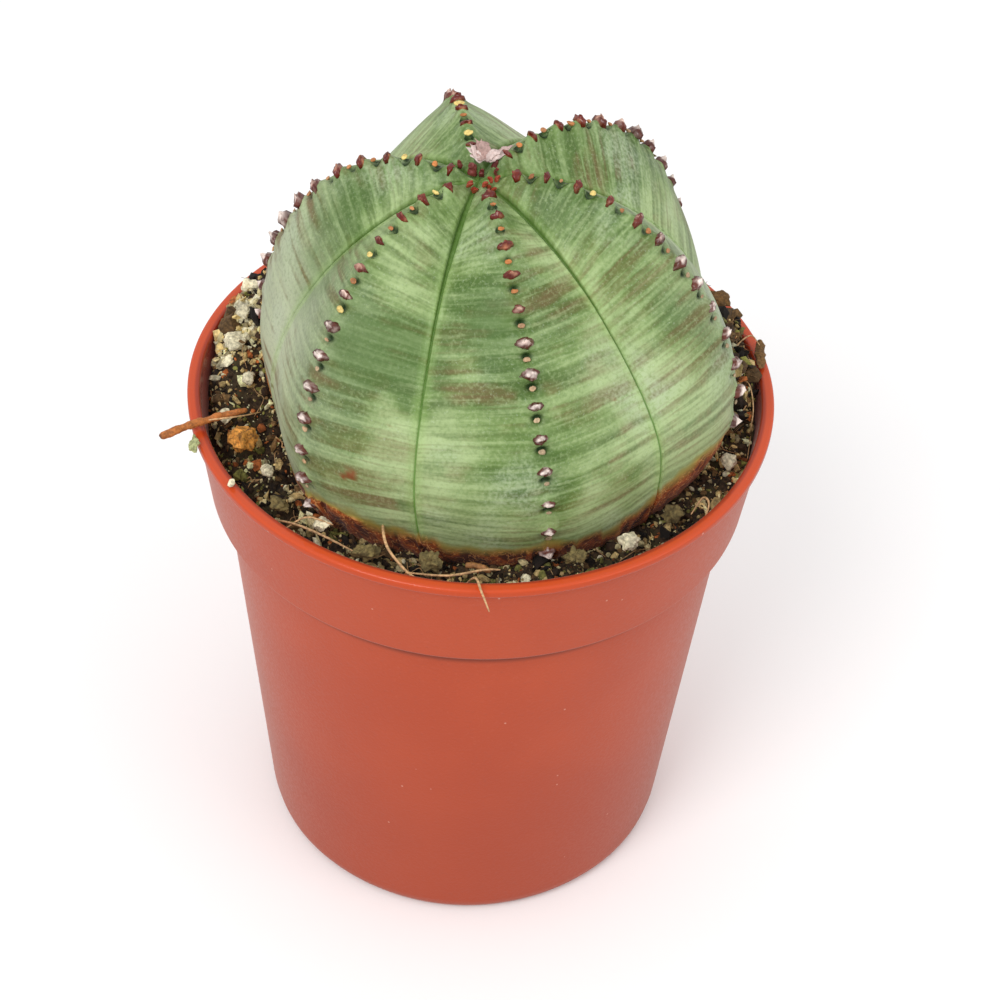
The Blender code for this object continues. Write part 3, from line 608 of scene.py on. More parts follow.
# Columns round the plant: the rib each belongs to, its bearings, and its share from crest to groove.
# A sine crowds the columns together towards the crests and the grooves.
def plantColumns():
    count = plant["columnsPerRib"]
    at = np.arange(count) / count
    at = at - plant["crowding"] * np.sin(4.0 * math.pi * at) / (4.0 * math.pi)
    sector = np.repeat(np.arange(ribCount), count)
    at = np.tile(at, ribCount)
    after = (sector + 1) % ribCount
    nextBearing = ribBearing[after] + np.where(after == 0, 2.0 * math.pi, 0.0)
    middle = (ribBearing[sector] + nextBearing) / 2.0 + np.radians(np.array(plant["grooveShift"])[sector])
    first = at <= 0.5
    crestBearing = np.where(first, ribBearing[sector], nextBearing)
    share = 2.0 * np.where(first, at, 1.0 - at)
    return np.where(first, sector, after), crestBearing, middle, share


columnRib, columnCrest, columnGroove, columnShare = plantColumns()

# The soil, in mm: its level below the rim, its heap behind, the fall towards the wall, the gaps beside
# wall and plant, how much higher it is where it is brimful and on the left of the heap, the slope down
# to the rim, its lumps, the faces of its mesh, and how much lighter it is where it is dry.
soil = dict(
    belowRim=3.6, heap=8.0, fallShare=0.3, fallWidth=4.0, fallFrom=30.8, ripple=0.3, frontDrop=2.0,
    wallGap=2.2, leftGap=1.6, plantGap=0.8, brimHeight=1.2, leftHeap=1.2, slope=0.85, slopeFrom=0.2,
    coarseLumps=1.0, fineLumps=0.6, columns=560, rows=56, dryRight=0.75, dryLeft=0.5,
    peat=seen(58, 43, 27), mossyPeat=seen(62, 54, 30),
)


# How much the soil is heaped at a bearing: a smooth step up from just in front of the middle.
def heapShare(bearing):
    return rise((np.sin(bearing) + 0.25) / 0.7)


# Heights of the soil: low in front, heaped behind, falling towards the wall, with a ripple of two sines.
def soilLevel(x, y):
    radius, bearing = np.hypot(x, y), np.arctan2(y, x)
    toWall = rise((radius - soil["fallFrom"] + soil["fallWidth"]) / soil["fallWidth"])
    ripple = soil["ripple"] * (np.sin(5.0 * bearing + 1.0) + np.sin(9.0 * bearing)) / 2.0
    drop = soil["frontDrop"] * rise(-np.sin(bearing), -0.1, 0.7)
    heap = soil["heap"] * heapShare(bearing) * (1.0 - soil["fallShare"] * toWall)
    return pot["height"] - soil["belowRim"] + heap + ripple - drop


# Crest line of a rib on the upright plant, with its length so far: the sum of its short steps.
def crestLine(rib, count=1600):
    along = np.linspace(0.0, 1.45, count)
    line = skinPoint(along, ribBearing[rib], ribBearing[rib], ribReach[rib], np.zeros(count))
    steps = np.linalg.norm(np.diff(line, axis=0), axis=1)
    return along, line, np.concatenate([[0.0], np.cumsum(steps)])


# The teeth: where each rib's first one is and the steps between them, their size, and then the pit
# below each tooth with the eye in it. Red and cream are the upper teeth's, wing and pink the lower ones'.
teeth = dict(
    firstAt=(5.2, 4.6, 4.2, 4.4, 3.2, 4.5), step=3.25, lowStep=4.2, jitter=0.28, width=0.90, depth=0.56,
    height=0.66, sides=20, rings=(1.0, 0.86, 0.66, 0.42, 0.2), swell=0.55, pitAt=1.32, pitWidth=0.82,
    pitDepth=0.6, eyeAt=1.50, eyeUpper=0.36, eyeLower=0.32, eyeSides=14,
    eyeRings=((0.75, -0.35), (1.0, 0.05), (0.86, 0.24), (0.55, 0.30), (0.25, 0.22)),
    # Cream and pink are partly pale horn and partly a painted highlight on the tip and upper edge.
    red=seen(98, 22, 9), cream=seen(206, 138, 100), wing=seen(92, 44, 32), pink=seen(248, 230, 220),
    yellowEye=seen(196, 122, 62), tanEye=seen(196, 170, 134), ripeEye=seen(226, 200, 118),
)


# Tooth places on each rib: a first distance from the crown, then steps that lengthen towards the soil,
# each with the directions down and across the rib there.
def toothPlaces():
    dice = np.random.default_rng(41)
    rows = []
    for rib in range(ribCount):
        along, line, length = crestLine(rib)
        at = teeth["firstAt"][rib]
        while at < 50.0:
            here = int(np.searchsorted(length, at))
            if here >= len(along) - 2:
                break
            potPoint = toPot(line[here])
            if potPoint[2] < soilLevel(potPoint[0], potPoint[1]) + 0.4:
                break
            tangent = line[here + 1] - line[here - 1]
            tangent = tangent / np.linalg.norm(tangent)
            across = np.array([-math.sin(ribBearing[rib]), math.cos(ribBearing[rib]), 0.0])
            rows.append((rib, at, *line[here], *tangent, *across, along[here]))
            at += blend(teeth["step"], teeth["lowStep"], float(rise(at, 24.0, 40.0)))
            at += dice.uniform(-1.0, 1.0) * teeth["jitter"]
    return np.array(rows)


toothRows = toothPlaces()
print("teeth:", len(toothRows))


# Rows of the body: even steps of length down the skin, then the underside and the root.
def bodyRows():
    fine = np.linspace(0.0, 1.12, 2000)
    crest, _ = outlines(fine)
    length = np.concatenate([[0.0], np.cumsum(np.hypot(np.diff(crest[0]), np.diff(crest[1])))])
    even = np.interp(np.linspace(0.0, length[-1], plant["bodyRows"])[1:], length, fine)
    return np.concatenate([even, np.linspace(fine[-1], 2.0, plant["underRows"])[1:],
                           np.linspace(2.0, 3.0, plant["rootRows"])[1:]])


# How far down its rib a point lies: the length along the crest to the place straight across from it,
# found as the nearest of many crest points once the sideways part is left out.
def lengthAcross(grid):
    found = np.zeros(grid.shape[:2])
    for rib in range(ribCount):
        along, line, length = crestLine(rib, 700)
        outward = np.array([math.cos(ribBearing[rib]), math.sin(ribBearing[rib])])
        columns = np.where(columnRib == rib)[0]
        patch = grid[:, columns]
        reach, height = patch[..., :2] @ outward, patch[..., 2]
        away = (reach[..., None] - line[:, :2] @ outward) ** 2 + (height[..., None] - line[:, 2]) ** 2
        found[:, columns] = length[np.argmin(away, axis=-1)]
    return found


# Swelling under each tooth and the pit below it, both bells across and down the rib. The pit's bell
# bends down at its sides. Gives the lift, the pits and the swellings as fields on the grid.
def toothFields(grid):
    lift, pit, collar = (np.zeros(grid.shape[:2]) for _ in range(3))
    for rib in range(ribCount):
        columns = np.where(columnRib == rib)[0]
        near = columns[np.argsort(columnShare[columns])][:44]
        for row in toothRows[toothRows[:, 0] == rib]:
            centre, down, across = row[2:5], row[5:8], row[8:11]
            away = grid[:, near] - centre
            v = away @ down
            u = away @ across
            sideways = np.linalg.norm(away - v[..., None] * down - u[..., None] * across, axis=-1)
            u = np.sign(u) * np.hypot(u, sideways)
            size = blend(1.1, 0.85, float(rise(row[1], 8.0, 38.0)))
            swell = np.exp(-(u / (1.15 * size)) ** 2 - ((v + 0.1) / (0.95 * size)) ** 2)
            below = v - teeth["pitAt"] + 0.15 * u ** 2
            depth = np.exp(-(u / teeth["pitWidth"]) ** 2 - (below / 0.48) ** 2)
            lift[:, near] += teeth["swell"] * swell - teeth["pitDepth"] * size * depth
            pit[:, near] = np.maximum(pit[:, near], depth)
            collar[:, near] = np.maximum(collar[:, near], swell)
    return lift, pit, collar


# The rounding of the crests, the crease along each groove with a soft roll beside it, and the broad and
# fine unevenness of the skin, as heights over the plain faces.
def skinLift(along, fromCrest, fromGroove, inPot, length):
    crownFade = rise(along, 0.02, 0.15)
    crease = blend(0.38, 0.13, rise(along, 0.15, 0.55))
    lift = -plant["crestRound"] * np.exp(-fromCrest / 0.9)
    lift = lift - (0.05 + 0.8 * crease) * np.exp(-(fromGroove / crease) ** 2)
    lift = lift + 0.16 * np.exp(-((fromGroove - 2.2 * crease) / (1.3 * crease)) ** 2)
    lift = (lift + 0.10 * lumps(inPot, 6.0, 2, 5)) * crownFade
    stretched = np.stack([length * 1.9, inPot[..., 0] * 0.1, inPot[..., 1] * 0.1], -1)
    return lift + 0.020 * lumps(stretched, 1.0, 2, 9)


# Lighter and darker places (bells round a point, ragged by lumps) and scars (ragged discs).
def skinMarks(inPot):
    tone, scar = np.zeros(inPot.shape[:2]), np.zeros(inPot.shape[:2])
    for x, y, z, reach, strength in plant["tones"]:
        away = np.linalg.norm(inPot - np.array([x, y, z]), axis=-1) * (1.0 + 0.3 * lumps(inPot, 3.0, 2, 87))
        tone = tone + strength * np.exp(-(away / reach) ** 2)
    ragged = 1.0 + 0.5 * lumps(inPot, 0.9, 3, 91)
    for x, y, z, reach in plant["scars"]:
        away = np.linalg.norm((inPot - np.array([x, y, z])) * [1.0, 1.0, 1.3], axis=-1)
        scar = np.maximum(scar, rise(reach * ragged - away, -0.15, 0.2))
    return tone, scar


# Adds a value for each of the two end points to a field on the grid.
def withEnds(field):
    flat = field.reshape(-1, field.shape[-1]) if field.ndim == 3 else field.reshape(-1, 1)
    return np.concatenate([flat, flat[:1], flat[-1:]])


# The grown body: the skin's points, moved along their outward directions by the lifts of skin, teeth,
# cork and scars, with the values that the skin's material reads.
def makeBody():
    along, share = bodyRows()[:, None], columnShare[None]
    reach, crest, groove = ribReach[columnRib][None], columnCrest[None], columnGroove[None]
    grid = skinPoint(along, crest, groove, reach, share)
    fromCrest = np.linalg.norm(grid - skinPoint(along, crest, groove, reach, np.zeros_like(share)), axis=-1)
    fromGroove = np.linalg.norm(grid - skinPoint(along, crest, groove, reach, np.ones_like(share)), axis=-1)
    length = np.concatenate([np.zeros((1, grid.shape[1])),
                             np.cumsum(np.linalg.norm(np.diff(grid, axis=0), axis=-1), axis=0)])
    inPot = toPot(grid)
    toothLift, pit, collar = toothFields(grid)
    lift = skinLift(along, fromCrest, fromGroove, inPot, length) + toothLift
    above = inPot[..., 2] - soilLevel(inPot[..., 0], inPot[..., 1])
    bearing = np.degrees(np.arctan2(inPot[..., 1], inPot[..., 0]))
    corkTop = plant["corkHeight"] + sum(height * bell(bearing, centre, width)
                                        for centre, width, height in plant["corkRises"])
    corkTop = corkTop + 0.9 * lumps(inPot, 3.0, 3, 21) - 0.5 * pit
    cork = rise(corkTop - above, -0.25, 0.25)
    wrinkle = 1.0 - np.abs(lumps(inPot, 1.5, 3, 33))
    lift = lift + cork * (0.45 * (wrinkle - 0.75) + 0.12)
    turn = np.arctan2(grid[..., 1], grid[..., 0])
    across = lengthAcross(grid) - 1.3 * (1.0 - share)
    stripe = np.stack([across, 14.0 * np.cos(turn), 14.0 * np.sin(turn)], -1)
    # The flanks for the grey: partly grey-pink weathered skin, partly a painted sheen of grazing light.
    leftSide = bell(np.abs(np.degrees(turn)), 168.0, 34.0) * rise(length, 12.0, 28.0)
    rightSide = 0.45 * bell(np.degrees(turn), -8.0, 14.0) * rise(length, 16.0, 30.0)
    tone, scar = skinMarks(inPot)
    lift = lift + 0.12 * scar * (0.5 - lumps(inPot, 0.5, 2, 95))
    grid = grid + gridNormals(grid) * lift[..., None]
    skin = toPot(grid)
    points, faces = closedSkin(skin, toPot(grid[0].mean(axis=0) - [0.0, 0.0, 0.05]),
                               toPot(np.array([0.0, 0.0, plant["tipHeight"] - 0.6])))
    fields = dict(stripe=stripe, fromGroove=fromGroove, pit=pit, fromCrest=fromCrest, collar=collar,
                  cork=cork, aboveCork=above - corkTop, downSkin=length, scar=scar, ridge=wrinkle,
                  tone=tone, grey=np.clip(leftSide + rightSide, 0.0, 1.0))
    made = newPiece("plantBody", points, faces, skinMaterial(),
                    {name: withEnds(field) for name, field in fields.items()})
    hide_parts("plant_stem")
    return skin, above


# The skin's colours, the grain of its stripes (patches per mm down the rib and round the plant), the
# width of the line in each groove, and its sheen.
skinFinish = dict(
    pale=seen(176, 196, 140), leaf=seen(116, 144, 76), deep=seen(72, 104, 40),
    streakGreen=seen(76, 98, 44), streakPurple=seen(112, 84, 54), bloom=seen(192, 206, 182),
    groove=seen(84, 122, 40), grooveLow=seen(104, 150, 62), grooveEdge=seen(150, 188, 100),
    # The pit colour is painted shade in the hollow under each tooth.
    pit=seen(34, 58, 20), collar=seen(128, 158, 96), corkDark=seen(78, 28, 10), cork=seen(150, 72, 26),
    # Grey-pink and grey-brown colour the flanks: partly weathered skin, partly a painted sheen.
    corkLight=seen(236, 164, 98), olive=seen(166, 146, 62), greyPink=seen(192, 196, 168),
    greyBrown=seen(136, 112, 88), scar=seen(132, 78, 42),
    fine=(0.85, 0.085, 0.085), finer=(2.3, 0.24, 0.24), broad=(0.30, 0.07, 0.07),
    lineAtTop=0.42, lineBelow=0.13, roughness=0.46, corkRoughness=0.8, sheen=0.10, sheenRoughness=0.35,
)


# How light the skin is: a cloudy noise, lighter towards the grooves and low down, darker towards the
# crests, plus the tones. It picks the colour between deep, leaf and pale.
def skinGround(tree, place, grooveMm, lowDown):
    c = skinFinish
    lightness = maths(tree, "ADD", grainNoise(tree, place, 0.075, 3.0, 0.6, 2.0),
                      times(tree, ramp(tree, grooveMm, 8.0, 0.5), 0.10))
    lightness = maths(tree, "ADD", lightness, times(tree, lowDown, 0.07))
    nearCrest = ramp(tree, mark(tree, "fromCrest"), 8.5, 0.8)
    lightness = maths(tree, "SUBTRACT", lightness, times(tree, nearCrest, 0.10))
    lightness = maths(tree, "ADD", lightness, times(tree, mark(tree, "tone"), 0.19))
    colour = mixColours(tree, ramp(tree, lightness, 0.46, 0.70), c["leaf"], c["pale"])
    return mixColours(tree, times(tree, ramp(tree, lightness, 0.54, 0.38), 0.85), colour, c["deep"])


# Cross stripes: noises stretched round the plant. The fine one lays down green or purple streaks, more
# in the broad one's bands, the finer one adds threads, and both lighten between the streaks.
def skinStripes(tree, colour, fine, stripe, other):
    c = skinFinish
    finer = grainNoise(tree, stripe, c["finer"], 1.5, 0.5, 11.0)
    bands = ramp(tree, grainNoise(tree, stripe, c["broad"], 2.0, 0.55, 5.0), 0.40, 0.60)
    streak = mixColours(tree, ramp(tree, other, 0.45, 0.58), c["streakGreen"], c["streakPurple"])
    lines = times(tree, ramp(tree, fine, 0.40, 0.66), maths(tree, "ADD", times(tree, bands, 0.44), 0.30))
    colour = mixColours(tree, lines, colour, streak)
    colour = mixColours(tree, ramp(tree, fine, 0.54, 0.32, 0.0, 0.30), colour, c["pale"])
    colour = mixColours(tree, ramp(tree, finer, 0.48, 0.70, 0.0, 0.34), colour, streak)
    colour = mixColours(tree, ramp(tree, finer, 0.52, 0.30, 0.0, 0.34), colour, c["pale"])
    # The left and right flanks greyed: partly weathered skin, partly a painted sheen of grazing light.
    greyShare = times(tree, ramp(tree, fine, 0.46, 0.60), ramp(tree, other, 0.38, 0.54))
    greyed = mixColours(tree, greyShare, c["greyPink"], c["greyBrown"])
    return mixColours(tree, times(tree, mark(tree, "grey"), 0.8), colour, greyed)


# Bloom in cloudy places, less of it on the dark ones, with light and dark specks and pale flecks.
def skinBloom(tree, colour, place, speck):
    c = skinFinish
    frost = ramp(tree, grainNoise(tree, place, 0.1, 2.0, 0.5, 31.0), 0.52, 0.72)
    frost = times(tree, frost, ramp(tree, speck, 0.30, 0.70, 0.10, 0.42))
    frost = times(tree, frost, ramp(tree, mark(tree, "tone"), -1.4, 0.0, 0.1, 1.0))
    colour = mixColours(tree, frost, colour, c["bloom"])
    colour = mixColours(tree, ramp(tree, speck, 0.46, 0.78, 0.0, 0.32), colour, c["pale"])
    colour = mixColours(tree, ramp(tree, speck, 0.54, 0.24, 0.0, 0.28), colour, c["deep"])
    flecks = ramp(tree, grainNoise(tree, place, 5.0, 1.0, 0.5, 7.0), 0.60, 0.80, 0.0, 0.25)
    colour = mixColours(tree, flecks, colour, c["bloom"])
    return mixColours(tree, ramp(tree, mark(tree, "tone"), -0.4, -1.9, 0.0, 0.55), colour, c["deep"])


# The line in each groove, thinner lower down, with a lighter edge, then collars round the teeth, painted
# shade in the pits, yellowing over the cork, and scars.
def skinDetails(tree, colour, grooveMm, lowDown):
    c = skinFinish
    edge = times(tree, ramp(tree, grooveMm, 1.3, 0.3), 0.22)
    colour = mixColours(tree, edge, colour, c["grooveEdge"])
    width = ramp(tree, mark(tree, "downSkin"), 5.0, 24.0, c["lineAtTop"], c["lineBelow"])
    thin = ramp(tree, maths(tree, "DIVIDE", grooveMm, width), 1.0, 0.45)
    grooveTint = mixColours(tree, lowDown, c["groove"], c["grooveLow"])
    colour = mixColours(tree, times(tree, thin, 0.75), colour, grooveTint)
    colour = mixColours(tree, times(tree, mark(tree, "collar"), 0.3), colour, c["collar"])
    # Painted shade in the pit under each tooth.
    colour = mixColours(tree, ramp(tree, mark(tree, "pit"), 0.2, 0.85), colour, c["pit"])
    yellowing = ramp(tree, mark(tree, "aboveCork"), 1.3, 0.1, 0.0, 0.8)
    colour = mixColours(tree, yellowing, colour, c["olive"])
    return mixColours(tree, mark(tree, "scar"), colour, c["scar"])


# Cork: a mottled brown, dark in the wrinkles, lit on some ridges, with thin light veins where a noise
# crosses its middle value. Gives the colour and the mottle's height.
def corkColour(tree, place, other):
    c = skinFinish
    wood, woodHeight = mottled(tree, c["cork"], 0.8, 2.6, 0.45)
    ridge = mark(tree, "ridge")
    wood = mixColours(tree, ramp(tree, ridge, 0.62, 0.40, 0.0, 0.9), wood, c["corkDark"])
    lit = times(tree, ramp(tree, ridge, 0.84, 0.98), ramp(tree, other, 0.40, 0.55))
    wood = mixColours(tree, lit, wood, c["corkLight"])
    threads = grainNoise(tree, place, 0.9, 2.0, 0.5, 3.0)
    vein = maths(tree, "ABSOLUTE", maths(tree, "SUBTRACT", threads, 0.5))
    return mixColours(tree, ramp(tree, vein, 0.022, 0.006, 0.0, 0.75), wood, c["corkLight"]), woodHeight


# The whole skin: ground, stripes, bloom and details in turn, then cork by its share. The stripes and
# specks, and on the cork its own mottle, are the height.
def skinMaterial():
    c = skinFinish
    material, tree, shader = newMaterial("plantSkin", c["roughness"])
    place, stripe = placeInMm(tree), mark(tree, "stripe", "Vector")
    grooveMm, cork = mark(tree, "fromGroove"), mark(tree, "cork")
    lowDown = ramp(tree, mark(tree, "downSkin"), 18.0, 40.0)
    fine = grainNoise(tree, stripe, c["fine"], 1.6, 0.5)
    other = grainNoise(tree, place, 0.12, 3.0, 0.6, 19.0)
    speck = grainNoise(tree, place, 2.6, 2.0, 0.55)
    colour = skinGround(tree, place, grooveMm, lowDown)
    colour = skinStripes(tree, colour, fine, stripe, other)
    colour = skinBloom(tree, colour, place, speck)
    colour = skinDetails(tree, colour, grooveMm, lowDown)
    wood, woodHeight = corkColour(tree, place, other)
    tree.links.new(mixColours(tree, cork, colour, wood), shader.inputs["Base Color"])
    tree.links.new(ramp(tree, cork, 0.0, 1.0, c["roughness"], c["corkRoughness"]), shader.inputs["Roughness"])
    shader.inputs["Specular IOR Level"].default_value = 0.3
    shader.inputs["Sheen Weight"].default_value = c["sheen"]
    shader.inputs["Sheen Roughness"].default_value = c["sheenRoughness"]
    height = maths(tree, "ADD", times(tree, fine, 0.5), times(tree, speck, 0.35))
    height = maths(tree, "ADD", height, times(tree, times(tree, woodHeight, cork), 3.0))
    setHeight(tree, shader, height, 0.10, 0.6)
    return material


bodySkin, bodyAbove = makeBody()
print("plant body done")


# The direction straight out of the skin at a tooth: square to the rib's own two directions.
def outOfSkin(row):
    out = np.cross(row[5:8], row[8:11])
    bearing = ribBearing[int(row[0])]
    return out if out @ np.array([math.cos(bearing), math.sin(bearing), 0.6]) > 0 else -out


# A tooth: a shield-shaped mound, wider than tall, its point down the rib and its tip raised. Its height
# is a quarter circle from rim to middle plus a spike, and its outline narrows below by a sine.
def toothSkin(row, dice):
    centre, down, across, out = row[2:5], row[5:8], row[8:11], outOfSkin(row)
    low = float(rise(row[1], 6.0, 26.0))
    size = blend(0.86, 1.10, low) * dice.uniform(0.85, 1.18)
    turn = np.arange(teeth["sides"]) * 2.0 * math.pi / teeth["sides"]
    ring = np.array(teeth["rings"])[:, None]
    u = teeth["width"] * size * np.cos(turn) * ring
    v = teeth["depth"] * size * np.sin(turn) * ring * blend(0.82, 1.0, low)
    u = u * np.where(np.sin(turn) > 0, 1.0 - 0.45 * np.sin(turn) * ring, 1.0 + 0.10 * np.sin(turn))
    mound = np.sqrt(np.clip(1.0 - ring ** 2, 0.0, 1.0)) * np.ones_like(u)
    spike = np.clip(1.0 - ring / 0.5, 0.0, 1.0) ** 1.2
    tall = teeth["height"] * size
    height = tall * blend(0.75, 1.0, low) * (0.7 * mound + dice.uniform(0.3, 0.9) * spike) + 0.12
    height = np.where(ring == 1.0, -0.25, height)
    v = v - 0.35 * size * spike - 0.10 * mound
    grid = centre + u[..., None] * across + v[..., None] * down + height[..., None] * out
    grid = grid + blend(0.10, 0.17, low) * shaken(grid, 0.45, 2, 3, 0.6)
    top = centre + out * (tall * blend(0.8, 1.15, low) + 0.2) - down * 0.42 * size
    points, faces = closedSkin(toPot(grid), toPot(centre - out * 0.3), toPot(top), flip=True)
    fromRim = np.concatenate([np.repeat(1.0 - ring, teeth["sides"], axis=1).ravel(), [0.0, 1.0]])
    side = np.concatenate([(np.sin(turn) * ring).ravel(), [0.0, -0.2]])
    return points, faces, fromRim, side


# All teeth as one piece. Each goes from its base colour to its pale one over its tip and its upper edge,
# partly pale horn and partly a painted highlight; the upper teeth are red and hardly tipped, the lower
# ones brown with pale tips.
def makeTeeth():
    dice = np.random.default_rng(77)
    skins, tints = [], []
    red, cream, wing, pink = (np.array(teeth[name]) for name in ("red", "cream", "wing", "pink"))
    for row in toothRows:
        points, faces, fromRim, side = toothSkin(row, dice)
        low = float(rise(row[1], 12.0, 26.0))
        base = blend(red, wing, low) * np.array([dice.uniform(0.8, 1.2)] * 3 + [1.0])
        paleAndHighlight = blend(cream, pink, low)
        # Painted highlight, partly pale horn: the tip and the upper edge.
        tip = rise(fromRim - 0.25 * side, 0.42, 0.60) * blend(0.05, 1.0, low)
        tip = tip + rise(-side, 0.55, 0.95) * blend(0.6, 0.15, low)
        tip = np.clip(tip + 0.6 * lumps(points, 0.35, 2, 13) - 0.1, 0.0, 1.0)
        skins.append((points, faces))
        tints.append(blend(base[None], paleAndHighlight[None], tip[:, None]))
    points, faces, _ = joinSkins(skins)
    material = tintedMaterial("toothHorn", 0.3, 0.9, 2.6, 0.22, 0.04)
    shader = material.node_tree.nodes["Principled BSDF"]
    shader.inputs["Coat Weight"].default_value = 0.22
    shader.inputs["Specular IOR Level"].default_value = 0.35
    shader.inputs["Coat Roughness"].default_value = 0.15
    made = newPiece("ribTeeth", points, faces, material, {"tint": np.concatenate(tints)})


# Eyes: a small oval disc in the pit under each tooth, its rim a little raised; a few are ripe, which
# makes them larger and yellow.
def makeEyes():
    dice = np.random.default_rng(78)
    skins, tints = [], []
    yellow, tan, ripeTint = (np.array(teeth[name]) for name in ("yellowEye", "tanEye", "ripeEye"))
    ring, lift = np.array(teeth["eyeRings"]).T[:, :, None]
    turn = np.arange(teeth["eyeSides"]) * 2.0 * math.pi / teeth["eyeSides"]
    for row in toothRows:
        centre, down, across = row[2:5], row[5:8], row[8:11]
        out = np.cross(across, down)
        out = out if out[2] > -0.2 and out @ centre > 0 else -out
        low = float(rise(row[1], 12.0, 30.0))
        size = blend(teeth["eyeUpper"], teeth["eyeLower"], low) * dice.uniform(0.75, 1.25)
        ripe = low < 0.6 and dice.random() < 0.25
        size *= 1.4 if ripe else 1.0
        at = centre + down * (teeth["eyeAt"] + dice.uniform(-0.12, 0.15)) + across * dice.uniform(-0.1, 0.1)
        height = lift * np.ones_like(turn) * size * 0.8 - 0.1
        grid = at + size * (ring * np.cos(turn))[..., None] * across \
            + size * 0.72 * (ring * np.sin(turn))[..., None] * down + height[..., None] * out
        grid = grid + 0.07 * shaken(grid, 0.3, 2, 17)
        top = at + out * (0.2 * size - 0.1)
        skins.append(closedSkin(toPot(grid), toPot(at - out * 0.4), toPot(top), flip=True))
        warm = dice.uniform(0.6, 1.1)
        tint = blend(yellow, tan, np.clip(low + dice.uniform(-0.35, 0.35), 0.0, 1.0)) * warm
        tints.append(solid(ripeTint if ripe else tint))
    points, faces, tint = joinSkins(skins, tints)
    material = tintedMaterial("eyeDisc", 0.5, 1.2, 3.0, 0.3, 0.04)
    made = newPiece("ribEyes", points, faces, material, {"tint": tint})


makeTeeth()
makeEyes()
print("teeth and eyes done")


# Radius at which the plant's skin meets the soil, for any bearing: the first row of each column below
# the soil, with its columns put in order of bearing.
def soilLineTable():
    crownRows = 60
    meets = np.argmax(bodyAbove[crownRows:] < 0.0, axis=0) + crownRows
    edge = bodySkin[meets, np.arange(bodySkin.shape[1])]
    bearing = np.arctan2(edge[:, 1], edge[:, 0])
    order = np.argsort(bearing)
    return bearing[order], np.hypot(edge[order, 0], edge[order, 1])


lineBearing, lineRadius = soilLineTable()
wallRadius = float(outsideRadius(pot["height"] - soil["belowRim"])) - pot["wall"]


# The plant's radius at the soil for a bearing, read between the columns on either side.
def plantRadius(bearing):
    return np.interp(bearing, lineBearing, lineRadius, period=2.0 * math.pi)


# Height of the rough surface: the soil's level, sunk beside the wall and the plant but raised where it
# is brimful, held under a slope that rises from the rim, plus coarse and fine lumps.
def roughSoil(x, y):
    radius, bearing = np.hypot(x, y), np.arctan2(y, x)
    turned = np.degrees(bearing)
    toWall = np.clip(wallRadius + 0.3 - radius, 0.0, None)
    left = bell(np.abs(turned), 172.0, 40.0) + bell(turned, -125.0, 30.0)
    sunk = (soil["wallGap"] + soil["leftGap"] * left) * np.exp(-(toWall / 1.5) ** 1.5)
    sunk = sunk + soil["plantGap"] * np.exp(-np.abs(radius - plantRadius(bearing)) / 0.7)
    brimful = np.clip(bell(turned, 16.0, 24.0) + 1.2 * bell(turned, 146.0, 20.0), 0.0, 1.0)
    level = soilLevel(x, y) - sunk * (1.0 - 0.5 * heapShare(bearing)) * (1.0 - brimful)
    level = level + soil["brimHeight"] * brimful + soil["leftHeap"] * bell(turned, 146.0, 18.0)
    level = np.minimum(level, pot["height"] + soil["slopeFrom"] + soil["slope"] * toWall)
    flat = np.stack([x, y, np.zeros_like(x)], -1)
    return (level + soil["coarseLumps"] * lumps(flat, 2.6, 2, 51)
            + soil["fineLumps"] * lumps(flat, 0.9, 3, 57) - 0.2)


# The peat as one closed skin: rings round the plant's root from its tip up, the rough surface from under
# the plant out to the wall, then rings down the inside of the pot.
def makeSoil():
    turn = np.arange(soil["columns"]) * 2.0 * math.pi / soil["columns"]
    share = np.linspace(-0.35, 1.0, soil["rows"])[:, None]
    inner = plantRadius(np.arctan2(np.sin(turn), np.cos(turn)))[None]
    radius = inner + (wallRadius - 0.05 - inner) * share
    x, y = radius * np.cos(turn), radius * np.sin(turn)
    top = np.stack([x, y, roughSoil(x, y)], -1)

    # One ring round a centre at a height.
    def ringAt(centre, reach, height):
        return np.stack([centre[0] + reach * np.cos(turn), centre[1] + reach * np.sin(turn),
                         np.full(len(turn), height)], -1)

    root = plant["offCentre"]
    hollow = [ringAt(root, reach, height)
              for height, reach in ((4.0, 0.8), (16.0, 1.2), (28.0, 4.0), (40.0, 10.0), (52.0, 18.0))]
    down = [ringAt((0.0, 0.0), float(outsideRadius(height)) - pot["wall"] - 0.3, height)
            for height in (50.0, 30.0, 2.6)]
    grid = np.concatenate([hollow, top, down])
    points, faces = closedSkin(grid, (*root, 3.6), (0.0, 0.0, 2.6))
    material, tree, shader = newMaterial("peat", 0.95)
    colour, height = mottled(tree, soil["peat"], 0.7, 2.3, 0.75)
    mossy = ramp(tree, grainNoise(tree, placeInMm(tree), 0.35, 3.0), 0.45, 0.65)
    tree.links.new(mixColours(tree, mossy, colour, soil["mossyPeat"]), shader.inputs["Base Color"])
    setHeight(tree, shader, height, 0.3)
    made = newPiece("peatBed", points, faces, material)
    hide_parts("soil")


makeSoil()
print("peat done")


